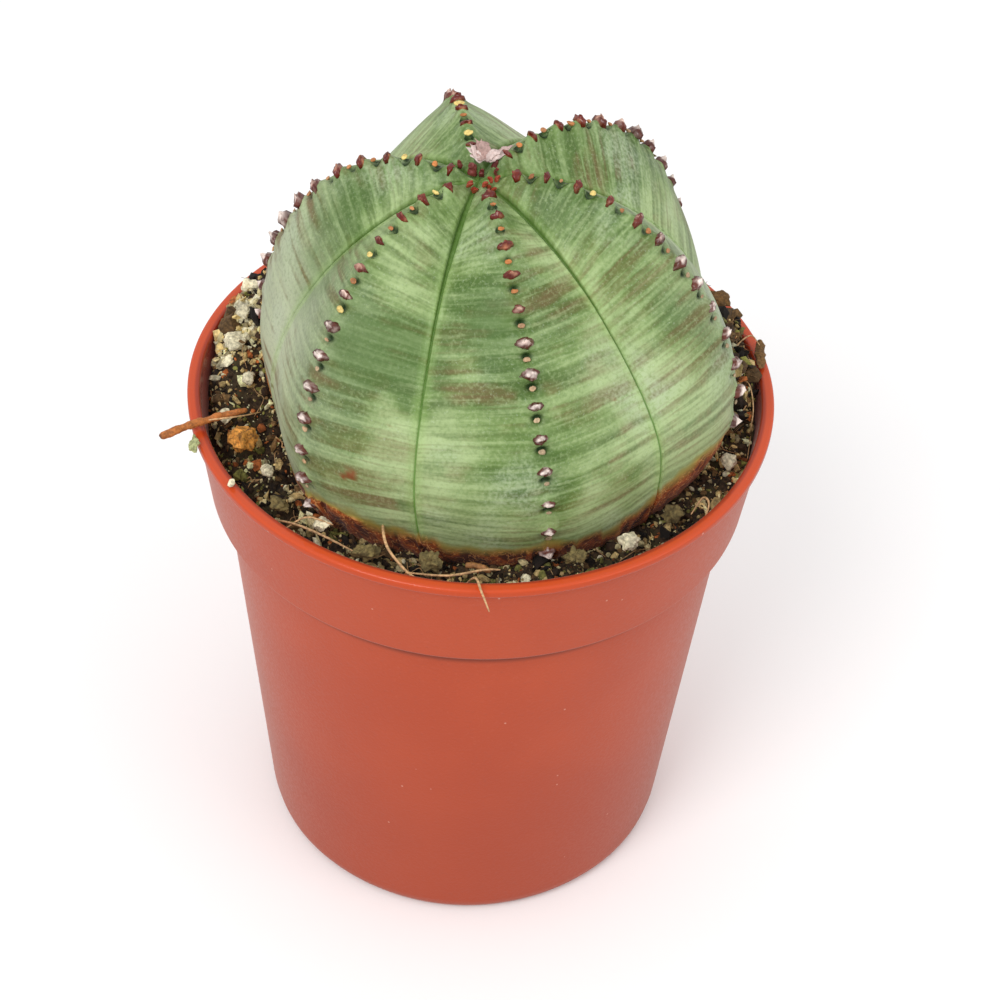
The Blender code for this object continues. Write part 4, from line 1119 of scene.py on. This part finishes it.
# The twelve corners and twenty faces of a regular solid that crumbs are shaped from.
def crumbShape():
    golden = (1.0 + math.sqrt(5.0)) / 2.0
    corners = []
    for first in (-1.0, 1.0):
        for second in (-golden, golden):
            corners += [(first, second, 0.0), (0.0, first, second), (second, 0.0, first)]
    corners = np.array(corners)
    corners /= np.linalg.norm(corners, axis=1, keepdims=True)
    apart = np.linalg.norm(corners[:, None] - corners[None], axis=-1)
    joined = (apart > 0.1) & (apart < 1.2)
    found = []
    for a in range(12):
        for b in range(a + 1, 12):
            for c in range(b + 1, 12):
                if joined[a, b] and joined[b, c] and joined[a, c]:
                    outward = np.cross(corners[b] - corners[a], corners[c] - corners[a]) @ corners[a] > 0
                    found.append((a, b, c) if outward else (a, c, b))
    return corners, np.array(found)


crumbCorners, crumbFaces = crumbShape()


# Random turns: four evenly spread numbers brought to length 1, written out as a turn's matrix.
def randomTurns(dice, count):
    q = dice.normal(size=(count, 4))
    q /= np.linalg.norm(q, axis=1, keepdims=True)
    w, x, y, z = q.T
    return np.stack([1 - 2 * (y * y + z * z), 2 * (x * y - z * w), 2 * (x * z + y * w),
                     2 * (x * y + z * w), 1 - 2 * (x * x + z * z), 2 * (y * z - x * w),
                     2 * (x * z - y * w), 2 * (y * z + x * w), 1 - 2 * (x * x + y * y)],
                    -1).reshape(count, 3, 3)


# Many angular crumbs as one piece: each a solid with its corners moved in or out by a random share,
# stretched, turned and set down.
def scatterCrumbs(name, places, sizes, tints, material, dice, rough=0.28):
    count = len(places)
    shape = crumbCorners[None] * (1.0 + dice.uniform(-rough, rough, (count, 12, 1)))
    shape = shape * sizes[:, None, :] / 2.0
    turned = np.einsum("nij,nkj->nki", randomTurns(dice, count), shape)
    points = (turned + places[:, None]).reshape(-1, 3)
    faces = (crumbFaces[None] + 12 * np.arange(count)[:, None, None]).reshape(-1, 3)
    marks = {"tint": np.repeat(solid(tints), 12, axis=0)}
    made = newPiece(name, points, [faces], material, marks, smooth=False)


# Places on the soil between plant and wall: a bearing, a share of the way, a height over the surface.
def soilPlaces(bearing, share, over):
    inner = plantRadius(bearing)
    radius = inner + (wallRadius - 0.4 - inner) * share
    x, y = radius * np.cos(bearing), radius * np.sin(bearing)
    return np.stack([x, y, roughSoil(x, y) + over], -1)


crumbMaterial = tintedMaterial("crumb", 0.93, 0.9, 3.0, 0.5, 0.12)
paleMaterial = tintedMaterial("paleStone", 0.9, 0.7, 2.6, 0.45, 0.15)
lavaMaterial = tintedMaterial("lavaStone", 0.85, 0.9, 2.2, 0.75, 0.2)


# How much lighter the dried soil is: a bell on the right and a lower one on the left.
def driedSoil(bearing):
    turned = np.degrees(np.arctan2(np.sin(bearing), np.cos(bearing)))
    left = soil["dryLeft"] * bell(np.abs(turned), 172.0, 34.0)
    return 1.0 + soil["dryRight"] * bell(turned, 4.0, 34.0) + left


# The loose crumbs: their colours with the odds of each, then for each batch how many there are and the
# sizes between which they lie in mm. Paler is how far the odds go towards the pale ones.
crumbs = dict(
    colours=(seen(50, 34, 20), seen(96, 72, 42), seen(168, 146, 98), seen(108, 106, 52), seen(24, 16, 10),
             seen(150, 84, 40), seen(212, 196, 146)),
    odds=(0.26, 0.18, 0.12, 0.10, 0.20, 0.04, 0.10), paleOdds=(0.10, 0.14, 0.26, 0.16, 0.06, 0.06, 0.22),
    clodOdds=(0.26, 0.24, 0.16, 0.10, 0.12, 0.06, 0.06),
    whites=(seen(228, 220, 186), seen(204, 190, 142), seen(170, 156, 118), seen(222, 196, 132)),
    whiteOdds=(0.4, 0.3, 0.18, 0.12),
    fine=dict(name="crumbsFine", count=9400, low=0.16, high=0.5, paler=0.0),
    coarse=dict(name="crumbsCoarse", count=2100, low=0.45, high=1.25, paler=0.4),
    pumice=dict(count=720, inCluster=0.16, clusterAt=168.0, clusterSpread=4.5),
    clods=dict(count=190, rightAt=18.0, leftAt=144.0, spread=15.0),
    slope=dict(count=1700, middle=88.0, spread=50.0, depth=0.28),
)


# Fine and coarse crumbs: evenly spread over bearing and share, small sizes the commonest by a power.
def makeLooseCrumbs(dice, batch):
    count, low, high = batch["count"], batch["low"], batch["high"]
    bearing = dice.uniform(-math.pi, math.pi, count)
    share = dice.uniform(-0.12, 1.0, count)
    size = low + (high - low) * dice.random(count) ** 1.8
    sizes = size[:, None] * dice.uniform(0.35, 1.6, (count, 3))
    places = soilPlaces(bearing, share, size * dice.uniform(-0.15, 0.4, count))
    odds = blend(np.array(crumbs["odds"]), np.array(crumbs["paleOdds"]), batch["paler"])
    tints = randomTints(dice, crumbs["colours"], odds, count, 0.7, 1.25)
    tints = np.clip(tints * driedSoil(bearing)[:, None], 0.0, 0.8)
    scatterCrumbs(batch["name"], places, sizes, tints, crumbMaterial, dice, 0.42)


# Bits of pumice: a share of them in one cluster on the left, where they are larger.
def makePumiceBits(dice, batch):
    count = batch["count"]
    cluster = dice.random(count) < batch["inCluster"]
    together = np.radians(dice.normal(batch["clusterAt"], batch["clusterSpread"], count))
    bearing = np.where(cluster, together, dice.uniform(-math.pi, math.pi, count))
    share = np.where(cluster, dice.uniform(0.25, 1.0, count), dice.uniform(0.0, 1.0, count))
    size = 0.22 + 0.80 * dice.random(count) ** 2.6 + 0.65 * cluster
    sizes = size[:, None] * dice.uniform(0.45, 1.4, (count, 3))
    places = soilPlaces(bearing, share, size * dice.uniform(0.05, 0.42, count))
    tints = randomTints(dice, crumbs["whites"], crumbs["whiteOdds"], count, 0.75, 1.1)
    scatterCrumbs("pumiceBits", places, sizes, tints, paleMaterial, dice, 0.4)


# Clods on the two brimful places, normally spread round the middle of each.
def makeClods(dice, batch):
    count, spread = batch["count"], batch["spread"]
    right = dice.random(count) < 0.5
    bearing = np.radians(np.where(right, dice.normal(batch["rightAt"], spread, count),
                                  dice.normal(batch["leftAt"], spread, count)))
    size = 0.7 + 1.6 * dice.random(count) ** 2.2
    sizes = size[:, None] * dice.uniform(0.4, 1.5, (count, 3))
    places = soilPlaces(bearing, dice.uniform(0.35, 1.06, count), size * dice.uniform(0.1, 0.45, count))
    tints = randomTints(dice, crumbs["colours"], crumbs["clodOdds"], count, 0.7, 1.25)
    scatterCrumbs("heapClods", places, sizes, tints, crumbMaterial, dice, 0.45)


# Crumbs on the steep edge of the heap at the back, crowded towards the wall by a power.
def makeSlopeCrumbs(dice, batch):
    count = batch["count"]
    bearing = np.radians(dice.normal(batch["middle"], batch["spread"], count))
    share = 1.0 - batch["depth"] * dice.random(count) ** 1.4
    size = 0.3 + 0.8 * dice.random(count) ** 2.0
    sizes = size[:, None] * dice.uniform(0.4, 1.5, (count, 3))
    places = soilPlaces(bearing, share, size * dice.uniform(-0.05, 0.35, count))
    tints = randomTints(dice, crumbs["colours"], crumbs["clodOdds"], count, 0.7, 1.25)
    tints = np.clip(tints * driedSoil(bearing)[:, None], 0.0, 0.8)
    scatterCrumbs("slopeCrumbs", places, sizes, tints, crumbMaterial, dice, 0.42)


# All batches in turn, from one row of random draws.
def makeCrumbs():
    dice = np.random.default_rng(5)
    makeLooseCrumbs(dice, crumbs["fine"])
    makeLooseCrumbs(dice, crumbs["coarse"])
    makePumiceBits(dice, crumbs["pumice"])
    makeClods(dice, crumbs["clods"])
    makeSlopeCrumbs(dice, crumbs["slope"])


makeCrumbs()
print("crumbs done")

# Finish of each sort of grain: colour, lump size, how deep its lumps are, material, and the slot. The
# moss crumb hangs a little further out over the lip than its plain stand-in, by its shift in mm.
grainFinish = dict(
    pumice=dict(colour=seen(228, 218, 186), lump=0.6, depth=0.30, slot="pumice", material=paleMaterial),
    grit=dict(colour=seen(112, 98, 60), lump=0.5, depth=0.42, slot="grit", material=crumbMaterial),
    lava=dict(colour=seen(204, 140, 62), lump=0.7, depth=0.26, slot="lava", material=lavaMaterial),
    bark=dict(colour=seen(112, 82, 46), lump=0.6, depth=0.34, slot="bark", material=crumbMaterial),
    moss=dict(colour=seen(158, 162, 116), lump=0.5, depth=0.45, slot="moss", material=crumbMaterial,
              shift=np.array([-1.2, -0.5, -0.1])),
)


# A rough grain in its own box: a ball flattened towards random planes, so it is angular, then lumped.
def grainSkin(low, high, sort, dice):
    rows, columns = 22, 30
    tilt = (np.arange(rows) + 0.5) * math.pi / rows
    around = np.arange(columns) * 2.0 * math.pi / columns
    ball = np.stack([np.sin(tilt)[:, None] * np.cos(around), np.sin(tilt)[:, None] * np.sin(around),
                     np.cos(tilt)[:, None] * np.ones(columns)], -1)
    ends = np.array([[0.0, 0.0, 1.0], [0.0, 0.0, -1.0]])
    everything = np.concatenate([ball.reshape(-1, 3), ends])
    planes = dice.normal(size=(16, 3))
    planes /= np.linalg.norm(planes, axis=1, keepdims=True)
    cut = dice.uniform(0.78, 0.98, 16)
    facing = everything @ planes.T
    reach = np.min(np.where(facing > 0.05, cut / np.maximum(facing, 0.05), 9.0), axis=1)
    shape = everything * np.minimum(reach, 1.12)[:, None]
    shape = shape * (high - low) / 2.0
    shape = shape * (1.0 + sort["depth"] * lumps(shape + dice.uniform(0, 50), sort["lump"], 3, 61))[:, None]
    return shape + (high + low) / 2.0, closedSkin(ball, ends[0], ends[1])[1]


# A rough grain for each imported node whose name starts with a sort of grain, in that node's own box.
def makeNamedGrains():
    dice = np.random.default_rng(9)
    for name in sorted(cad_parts):
        sort = grainFinish.get(name.split("_")[0])
        if sort is None:
            continue
        low, high = (corner + sort.get("shift", 0.0) for corner in boxInMm(name))
        points, faces = grainSkin(low, high, sort, dice)
        tint = solid(np.array(sort["colour"]) * dice.uniform(0.8, 1.12))
        made = newPiece(name + "_shape", points, faces, sort["material"],
                        {"tint": np.repeat(tint[None], len(points), axis=0)})
        made.data.set_sharp_from_angle(angle=math.radians(34.0))
        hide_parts(name)


makeNamedGrains()
print("named grains done")

woodMaterial = tintedMaterial("drySkin", 0.7, 0.8, 3.2, 0.35, 0.08)


# The two sticks: which ends of their packed box they run between (as shares of the box plus a shift in
# mm), radius, the bow in the middle, colour and seed.
sticks = dict(
    twigOnLip=dict(node="twig", start=((0, 0, 0.5), (0.3, 0.4, -0.05)), end=((1, 1, 0.5), (-0.2, -0.6, 0.1)),
                   radius=0.44, bow=(0.0, 0.35, 0.1), colour=seen(176, 104, 48), seed=12),
    shortStick=dict(node="short_stick", start=((0, 1, 0.5), (0.2, -0.4, 0.0)),
                    end=((1, 0, 0.5), (-0.2, 0.4, 0.0)), radius=0.36, bow=(0.0, 0.1, 0.1),
                    colour=seen(150, 102, 58), seed=31),
)
cutEnd = seen(70, 44, 26)


# A stick as it grew: a straight line bowed by half a sine and wavering by lumps, in a rod whose radius
# swells in knots and slims towards the far end, darker at its broken end.
def makeStick(name, stick):
    low, high = boxInMm(stick["node"])
    start, end = (low + (high - low) * np.array(share) + np.array(shift)
                  for share, shift in (stick["start"], stick["end"]))
    seed, share = stick["seed"], np.linspace(0.0, 1.0, 64)
    line = start + (end - start) * share[:, None]
    line = line + np.array(stick["bow"]) * np.sin(math.pi * share)[:, None]
    line = line + 0.10 * shaken(line, 1.6, 2, seed)
    radii = stick["radius"] * (1.0 + 0.16 * lumps(line, 0.9, 3, seed + 5) - 0.25 * share ** 2)
    radii = radii * np.minimum(1.0, 0.55 + 14.0 * np.minimum(share, 1.0 - share))
    points, faces = rodSkin(line, radii, 18)
    points = points + 0.045 * lumps(points, 0.3, 2, seed + 9)[:, None]
    dark = rise(np.linalg.norm(points - start, axis=1), 0.5, 0.15)
    tint = blend(np.array(stick["colour"])[None], np.array(cutEnd)[None], dark[:, None] * 0.8)
    made = newPiece(name, points, faces, woodMaterial, {"tint": tint})
    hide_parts(stick["node"])


# Roots that are seen one by one: control points in mm and a radius. The others are many and thin, and
# wander over the soil by small turns.
rootFibres = (
    dict(points=((-8.9, -19.4, 60.2), (-9.3, -22.5, 62.4), (-8.6, -25.4, 62.0), (-6.6, -27.2, 60.6),
                 (-5.6, -27.9, 60.4)), radius=0.16),
    dict(points=((-6.6, -27.4, 60.5), (-2.2, -27.9, 60.9), (1.4, -26.8, 60.9), (3.2, -26.2, 60.5)),
         radius=0.14),
    dict(points=((-0.4, -29.4, 61.2), (0.7, -31.1, 64.0), (1.4, -32.9, 63.9), (2.3, -34.2, 62.4)),
         radius=0.13),
    dict(points=((-21.2, -20.4, 60.4), (-18.4, -22.0, 61.3), (-15.4, -23.2, 61.0), (-12.2, -24.6, 60.4)),
         radius=0.14),
    dict(points=((-19.6, -21.8, 60.5), (-17.4, -21.0, 61.5), (-14.6, -21.4, 61.0)), radius=0.10),
    dict(points=((-31.0, -9.6, 63.9), (-28.6, -9.9, 64.6), (-25.6, -8.6, 64.2), (-23.9, -6.0, 62.6)),
         radius=0.09),
    dict(points=((27.2, 5.2, 64.6), (28.8, 6.6, 66.0), (30.0, 7.4, 66.2), (31.0, 7.0, 65.2)), radius=0.08),
    dict(points=((28.6, 3.0, 63.4), (29.6, 0.6, 64.8), (30.0, -2.6, 64.2), (29.8, -4.6, 62.6)), radius=0.07),
    dict(points=((23.2, -16.4, 60.6), (24.4, -15.0, 61.8), (25.0, -16.2, 62.0), (24.4, -17.8, 60.6)),
         radius=0.12),
)
thinRoots = dict(count=76, shortest=1.2, longest=4.2, turning=0.4, thinnest=0.03, thicker=0.05,
                 colour=seen(190, 150, 104), fibreColour=seen(206, 164, 118))


# Control points of one thin root: steps of even length in a heading that turns a little each time, kept
# between plant and wall and just over the soil.
def wanderingRoot(dice):
    bearing = dice.uniform(-math.pi, math.pi)
    share = dice.uniform(0.05, 0.95)
    heading = dice.uniform(0.0, 2.0 * math.pi)
    reach = dice.uniform(thinRoots["shortest"], thinRoots["longest"])
    start = soilPlaces(np.array([bearing]), np.array([share]), np.array([0.25]))[0]
    controls = []
    for step in range(5):
        heading += dice.uniform(-thinRoots["turning"], thinRoots["turning"])
        at = start[:2] + reach * step / 4.0 * np.array([math.cos(heading), math.sin(heading)])
        radius = math.hypot(*at)
        inner = float(plantRadius(math.atan2(at[1], at[0]))) + 0.3
        at = at * min(max(radius, inner), wallRadius - 0.4) / max(radius, 1e-6)
        controls.append((at[0], at[1], float(roughSoil(at[0], at[1])) + dice.uniform(0.15, 0.75)))
    return controls


# All roots as one piece: rods along smooth lines, the seen ones thickest in the middle by a sine.
def makeRoots():
    dice = np.random.default_rng(23)
    skins, tints = [], []
    for fibre in rootFibres:
        line = curvedLine(fibre["points"], 42)
        swell = np.sin(math.pi * np.linspace(0.0, 1.0, 42)) ** 0.6
        skins.append(rodSkin(line, fibre["radius"] * (0.45 + 0.55 * swell), 8))
        tints.append(solid(np.array(thinRoots["fibreColour"]) * dice.uniform(0.85, 1.1)))
    for _ in range(thinRoots["count"]):
        line = curvedLine(wanderingRoot(dice), 22)
        radius = thinRoots["thinnest"] + thinRoots["thicker"] * dice.random() ** 2
        skins.append(rodSkin(line, np.full(22, radius), 6))
        tints.append(solid(np.array(thinRoots["colour"]) * dice.uniform(0.5, 1.15)))
    points, faces, tint = joinSkins(skins, tints)
    made = newPiece("rootFibres", points, faces, woodMaterial, {"tint": tint})


# Bristles: how many there are, how many of them crowd on the right and round which bearing, their
# length, thickness at foot and tip, and colour.
bristles = dict(count=84, crowded=44, crowdAt=18.0, crowdSpread=14.0, shortest=1.0, longest=3.4,
                foot=0.055, tip=0.02, colour=seen(104, 78, 52))


# Fine bent hairs that stand out of the soil: each leans outward and sideways by its length and rises by
# a curve that flattens.
def makeBristles():
    dice = np.random.default_rng(29)
    skins, tints = [], []
    for index in range(bristles["count"]):
        crowded = index < bristles["crowded"]
        bearing = math.radians(dice.normal(bristles["crowdAt"], bristles["crowdSpread"]) if crowded
                               else dice.uniform(-200.0, 160.0))
        share = dice.uniform(0.3, 0.98)
        start = soilPlaces(np.array([bearing]), np.array([share]), np.array([-0.2]))[0]
        reach = dice.uniform(bristles["shortest"], bristles["longest"])
        side = np.array([math.cos(bearing), math.sin(bearing), 0.0])
        across = np.array([-side[1], side[0], 0.0])
        lean = dice.uniform(-0.8, 0.8)
        controls = [start + reach * t * (0.55 * side + lean * across)
                    + np.array([0, 0, reach]) * (0.75 * t - 0.35 * t * t) for t in (0.0, 0.35, 0.7, 1.0)]
        skins.append(rodSkin(curvedLine(controls, 14), np.linspace(bristles["foot"], bristles["tip"], 14), 5))
        tints.append(solid(np.array(bristles["colour"]) * dice.uniform(0.5, 1.5)))
    points, faces, tint = joinSkins(skins, tints)
    made = newPiece("soilBristles", points, faces, woodMaterial, {"tint": tint})


for stickName, stick in sticks.items():
    makeStick(stickName, stick)
makeRoots()
makeBristles()
print("sticks and roots done")

petalMaterial = tintedMaterial("driedPetal", 0.8, 0.9, 2.8, 0.25, 0.06)
leafMaterial = tintedMaterial("crownLeaf", 0.5, 0.9, 2.8, 0.25, 0.04)


# Dried flower: how many shreds, where its foot is from the middle of its box, the long first shred's
# heading and reach, how crumpled it is, and its two colours.
flower = dict(shreds=18, footShift=(0.7, -0.5, 0.35), longHeading=0.75, longReach=4.3, crumple=0.17,
              dark=seen(158, 118, 108), light=seen(222, 206, 200))


# Crumpled flat shreds fanning from one foot, each a flattened rod that widens by a sine and tapers to a
# torn end.
def makeFlower():
    dice = np.random.default_rng(3)
    low, high = boxInMm("dried_flower")
    foot = np.array([*(low[:2] + high[:2]) / 2.0, low[2]]) + np.array(flower["footShift"])
    skins, tints = [], []
    for index in range(flower["shreds"]):
        heading = dice.uniform(-0.6, math.pi + 0.6) if index else flower["longHeading"]
        reach = dice.uniform(0.9, 2.5) if index else flower["longReach"]
        away = np.array([math.cos(heading), 0.55 * math.sin(heading), dice.uniform(0.15, 0.85)]) * reach
        line = curvedLine([foot, foot + away * 0.5 + dice.uniform(-0.15, 0.15, 3), foot + away], 18)
        share = np.linspace(0.0, 1.0, 18)
        width = dice.uniform(0.3, 0.56) * (0.5 + np.sin(math.pi * share ** 0.8)) * (1.02 - share ** 5)
        points, faces = rodSkin(line, np.maximum(width, 0.03), 12, 0.28)
        skins.append((points + flower["crumple"] * shaken(points, 0.4, 2, 70 + index), faces))
        tints.append(solid(blend(np.array(flower["dark"]), np.array(flower["light"]), dice.random())))
    points, faces, tint = joinSkins(skins, tints)
    made = newPiece("driedFlower", points, faces, petalMaterial, {"tint": tint})
    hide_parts("dried_flower")


# Crown leaves and the buds beside them: how far the leaves are gathered in each direction, their
# thickness, colours at foot and tip, and for each bud its turn round the flower, reach and size.
crown = dict(
    gather=(0.30, 0.75, 0.0), scale=0.36, leafFoot=seen(156, 66, 42), leafTip=seen(168, 42, 28),
    buds=((-2.2, 0.9, 0.55), (-1.2, 1.2, 0.30), (-2.9, 0.7, 0.30), (0.1, 1.7, 0.36), (0.6, 2.4, 0.28),
          (-0.4, 2.0, 0.26), (3.0, 1.9, 0.26)),
    budDark=seen(92, 28, 28), budLight=seen(164, 84, 74),
)


# Little pointed scales, two for each packed leaf: flattened rods, fat at the foot by a sine and curving
# up to a tip.
def makeCrownLeaves():
    dice = np.random.default_rng(4)
    names = sorted(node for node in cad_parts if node.startswith("crown_leaf"))
    gathered = np.mean([sum(boxInMm(name)) / 2.0 for name in names], axis=0)
    share = np.linspace(0.0, 1.0, 16)
    for name in names:
        low, high = boxInMm(name)
        near = blend((low + high) / 2.0, gathered, np.array(crown["gather"]))
        skins = []
        for _ in range(2):
            lean = dice.uniform(-0.3, 0.3, 2)
            foot = np.array([near[0] + lean[0] * 0.8, near[1] + lean[1] * 0.8, low[2] - 0.35])
            tip = foot + np.array([lean[0] * 1.6, -0.45 + lean[1], 0.85])
            line = curvedLine([foot, (foot + tip) / 2.0 + np.array([0.0, 0.12, 0.0]), tip], 16)
            radii = crown["scale"] * np.sin(math.pi * (0.25 + 0.72 * share)) + 0.01
            skins.append(rodSkin(line, radii, 14, 0.6))
        points, faces, _ = joinSkins(skins)
        up = rise(points[:, 2], low[2], high[2] + 0.2)[:, None]
        tint = blend(np.array(crown["leafFoot"])[None], np.array(crown["leafTip"])[None], up)
        made = newPiece(name + "_scale", points, faces, leafMaterial, {"tint": tint})
        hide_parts(name)


# Buds: small dark red pointed lumps crowded round the flower's foot, each a rod that slims by a power.
def makeBuds():
    dice = np.random.default_rng(6)
    low, high = boxInMm("dried_flower")
    foot = np.array([*(low[:2] + high[:2]) / 2.0, low[2]]) - np.array([0.0, 0.9, 0.2])
    share = np.linspace(0.0, 1.0, 20)
    skins, tints = [], []
    for turn, reach, size in crown["buds"]:
        away = np.array([math.cos(turn), math.sin(turn), 0.0])
        at = foot + reach * away
        tip = at + 0.15 * away + np.array([0.0, -0.1, 1.9 * size])
        line = curvedLine([at - [0.0, 0.0, 0.5], at, blend(at, tip, 0.6), tip], 20)
        points, faces = rodSkin(line, size * (0.9 - 0.85 * share ** 2.4), 16)
        skins.append((points + 0.15 * shaken(points, 0.4, 2, 80), faces))
        tints.append(blend(np.array(crown["budDark"]), np.array(crown["budLight"]), dice.random() ** 2))
    points, faces, tint = joinSkins(skins, tints)
    made = newPiece("crownBuds", points, faces, leafMaterial, {"tint": tint})


makeFlower()
makeCrownLeaves()
makeBuds()
print("crown done")

# The studio, in metres: floor, light from all round, two soft lamps, and the camera with its lens in mm
# and its roll in degrees. The floor is white where it is seen and greyer in the light that it gives.
studio = dict(
    floorSize=4.0, floorSeen=(1.0, 1.0, 1.0, 1.0), floorGiven=(0.55, 0.55, 0.55, 1.0), world=0.88,
    lamps=dict(key=dict(place=(-0.22, -0.38, 0.52), target=(0.0, 0.0, 0.06), size=0.30, power=1.5),
               fill=dict(place=(0.42, -0.25, 0.28), target=(0.0, 0.0, 0.05), size=0.40, power=0.4)),
    camera=(0.00276, -0.20255, 0.2367), cameraTarget=(0.00276, -0.00889, 0.0541), lens=86.4, sensor=36.0,
    roll=3.15,
)


# A flat square floor of eight by eight faces.
def makeFloor():
    side = np.linspace(-studio["floorSize"] / 2.0, studio["floorSize"] / 2.0, 9)
    x, y = np.meshgrid(side, side, indexing="ij")
    mesh = bpy.data.meshes.new("floor")
    row, column = np.meshgrid(np.arange(8), np.arange(8), indexing="ij")
    corner = row * 9 + column
    faces = np.stack([corner, corner + 9, corner + 10, corner + 1], -1).reshape(-1, 4)
    mesh.from_pydata(np.stack([x, y, 0 * x], -1).reshape(-1, 3).tolist(), [], faces.tolist())
    made = bpy.data.objects.new("floor", mesh)
    bpy.context.scene.collection.objects.link(made)
    material, tree, shader = newMaterial("paleFloor", 0.9)
    shader.inputs["Specular IOR Level"].default_value = 0.0
    direct = addNode(tree, "LightPath").outputs["Is Camera Ray"]
    colour = mixColours(tree, direct, studio["floorGiven"], studio["floorSeen"])
    tree.links.new(colour, shader.inputs["Base Color"])
    mesh.materials.append(material)


# A round soft lamp that faces its target.
def addLamp(name, lamp):
    light = bpy.data.lights.new(name, "AREA")
    light.shape, light.size, light.energy = "DISK", lamp["size"], lamp["power"]
    made = bpy.data.objects.new(name, light)
    bpy.context.scene.collection.objects.link(made)
    made.location = lamp["place"]
    facing = Vector(lamp["target"]) - Vector(lamp["place"])
    made.rotation_euler = facing.to_track_quat("-Z", "Y").to_euler()


# Even white light from all round, and the lamps.
def makeStudio():
    world = bpy.data.worlds.new("studio")
    world.use_nodes = True
    back = world.node_tree.nodes["Background"]
    back.inputs["Color"].default_value = (1.0, 1.0, 1.0, 1.0)
    back.inputs["Strength"].default_value = studio["world"]
    bpy.context.scene.world = world
    for name, lamp in studio["lamps"].items():
        addLamp(name, lamp)
    bpy.context.scene.view_settings.view_transform = "Standard"


# The camera at its place, turned to its target and rolled round its line of sight.
def makeCamera():
    lens = bpy.data.cameras.new("camera")
    lens.sensor_width, lens.lens = studio["sensor"], studio["lens"]
    made = bpy.data.objects.new("camera", lens)
    bpy.context.scene.collection.objects.link(made)
    place, target = Vector(studio["camera"]), Vector(studio["cameraTarget"])
    facing = (target - place).to_track_quat("-Z", "Y").to_matrix().to_4x4()
    roll = Matrix.Rotation(math.radians(studio["roll"]), 4, "Z")
    made.matrix_world = Matrix.Translation(place) @ facing @ roll
    bpy.context.scene.camera = made


makeFloor()
makeStudio()
makeCamera()
print("studio done")

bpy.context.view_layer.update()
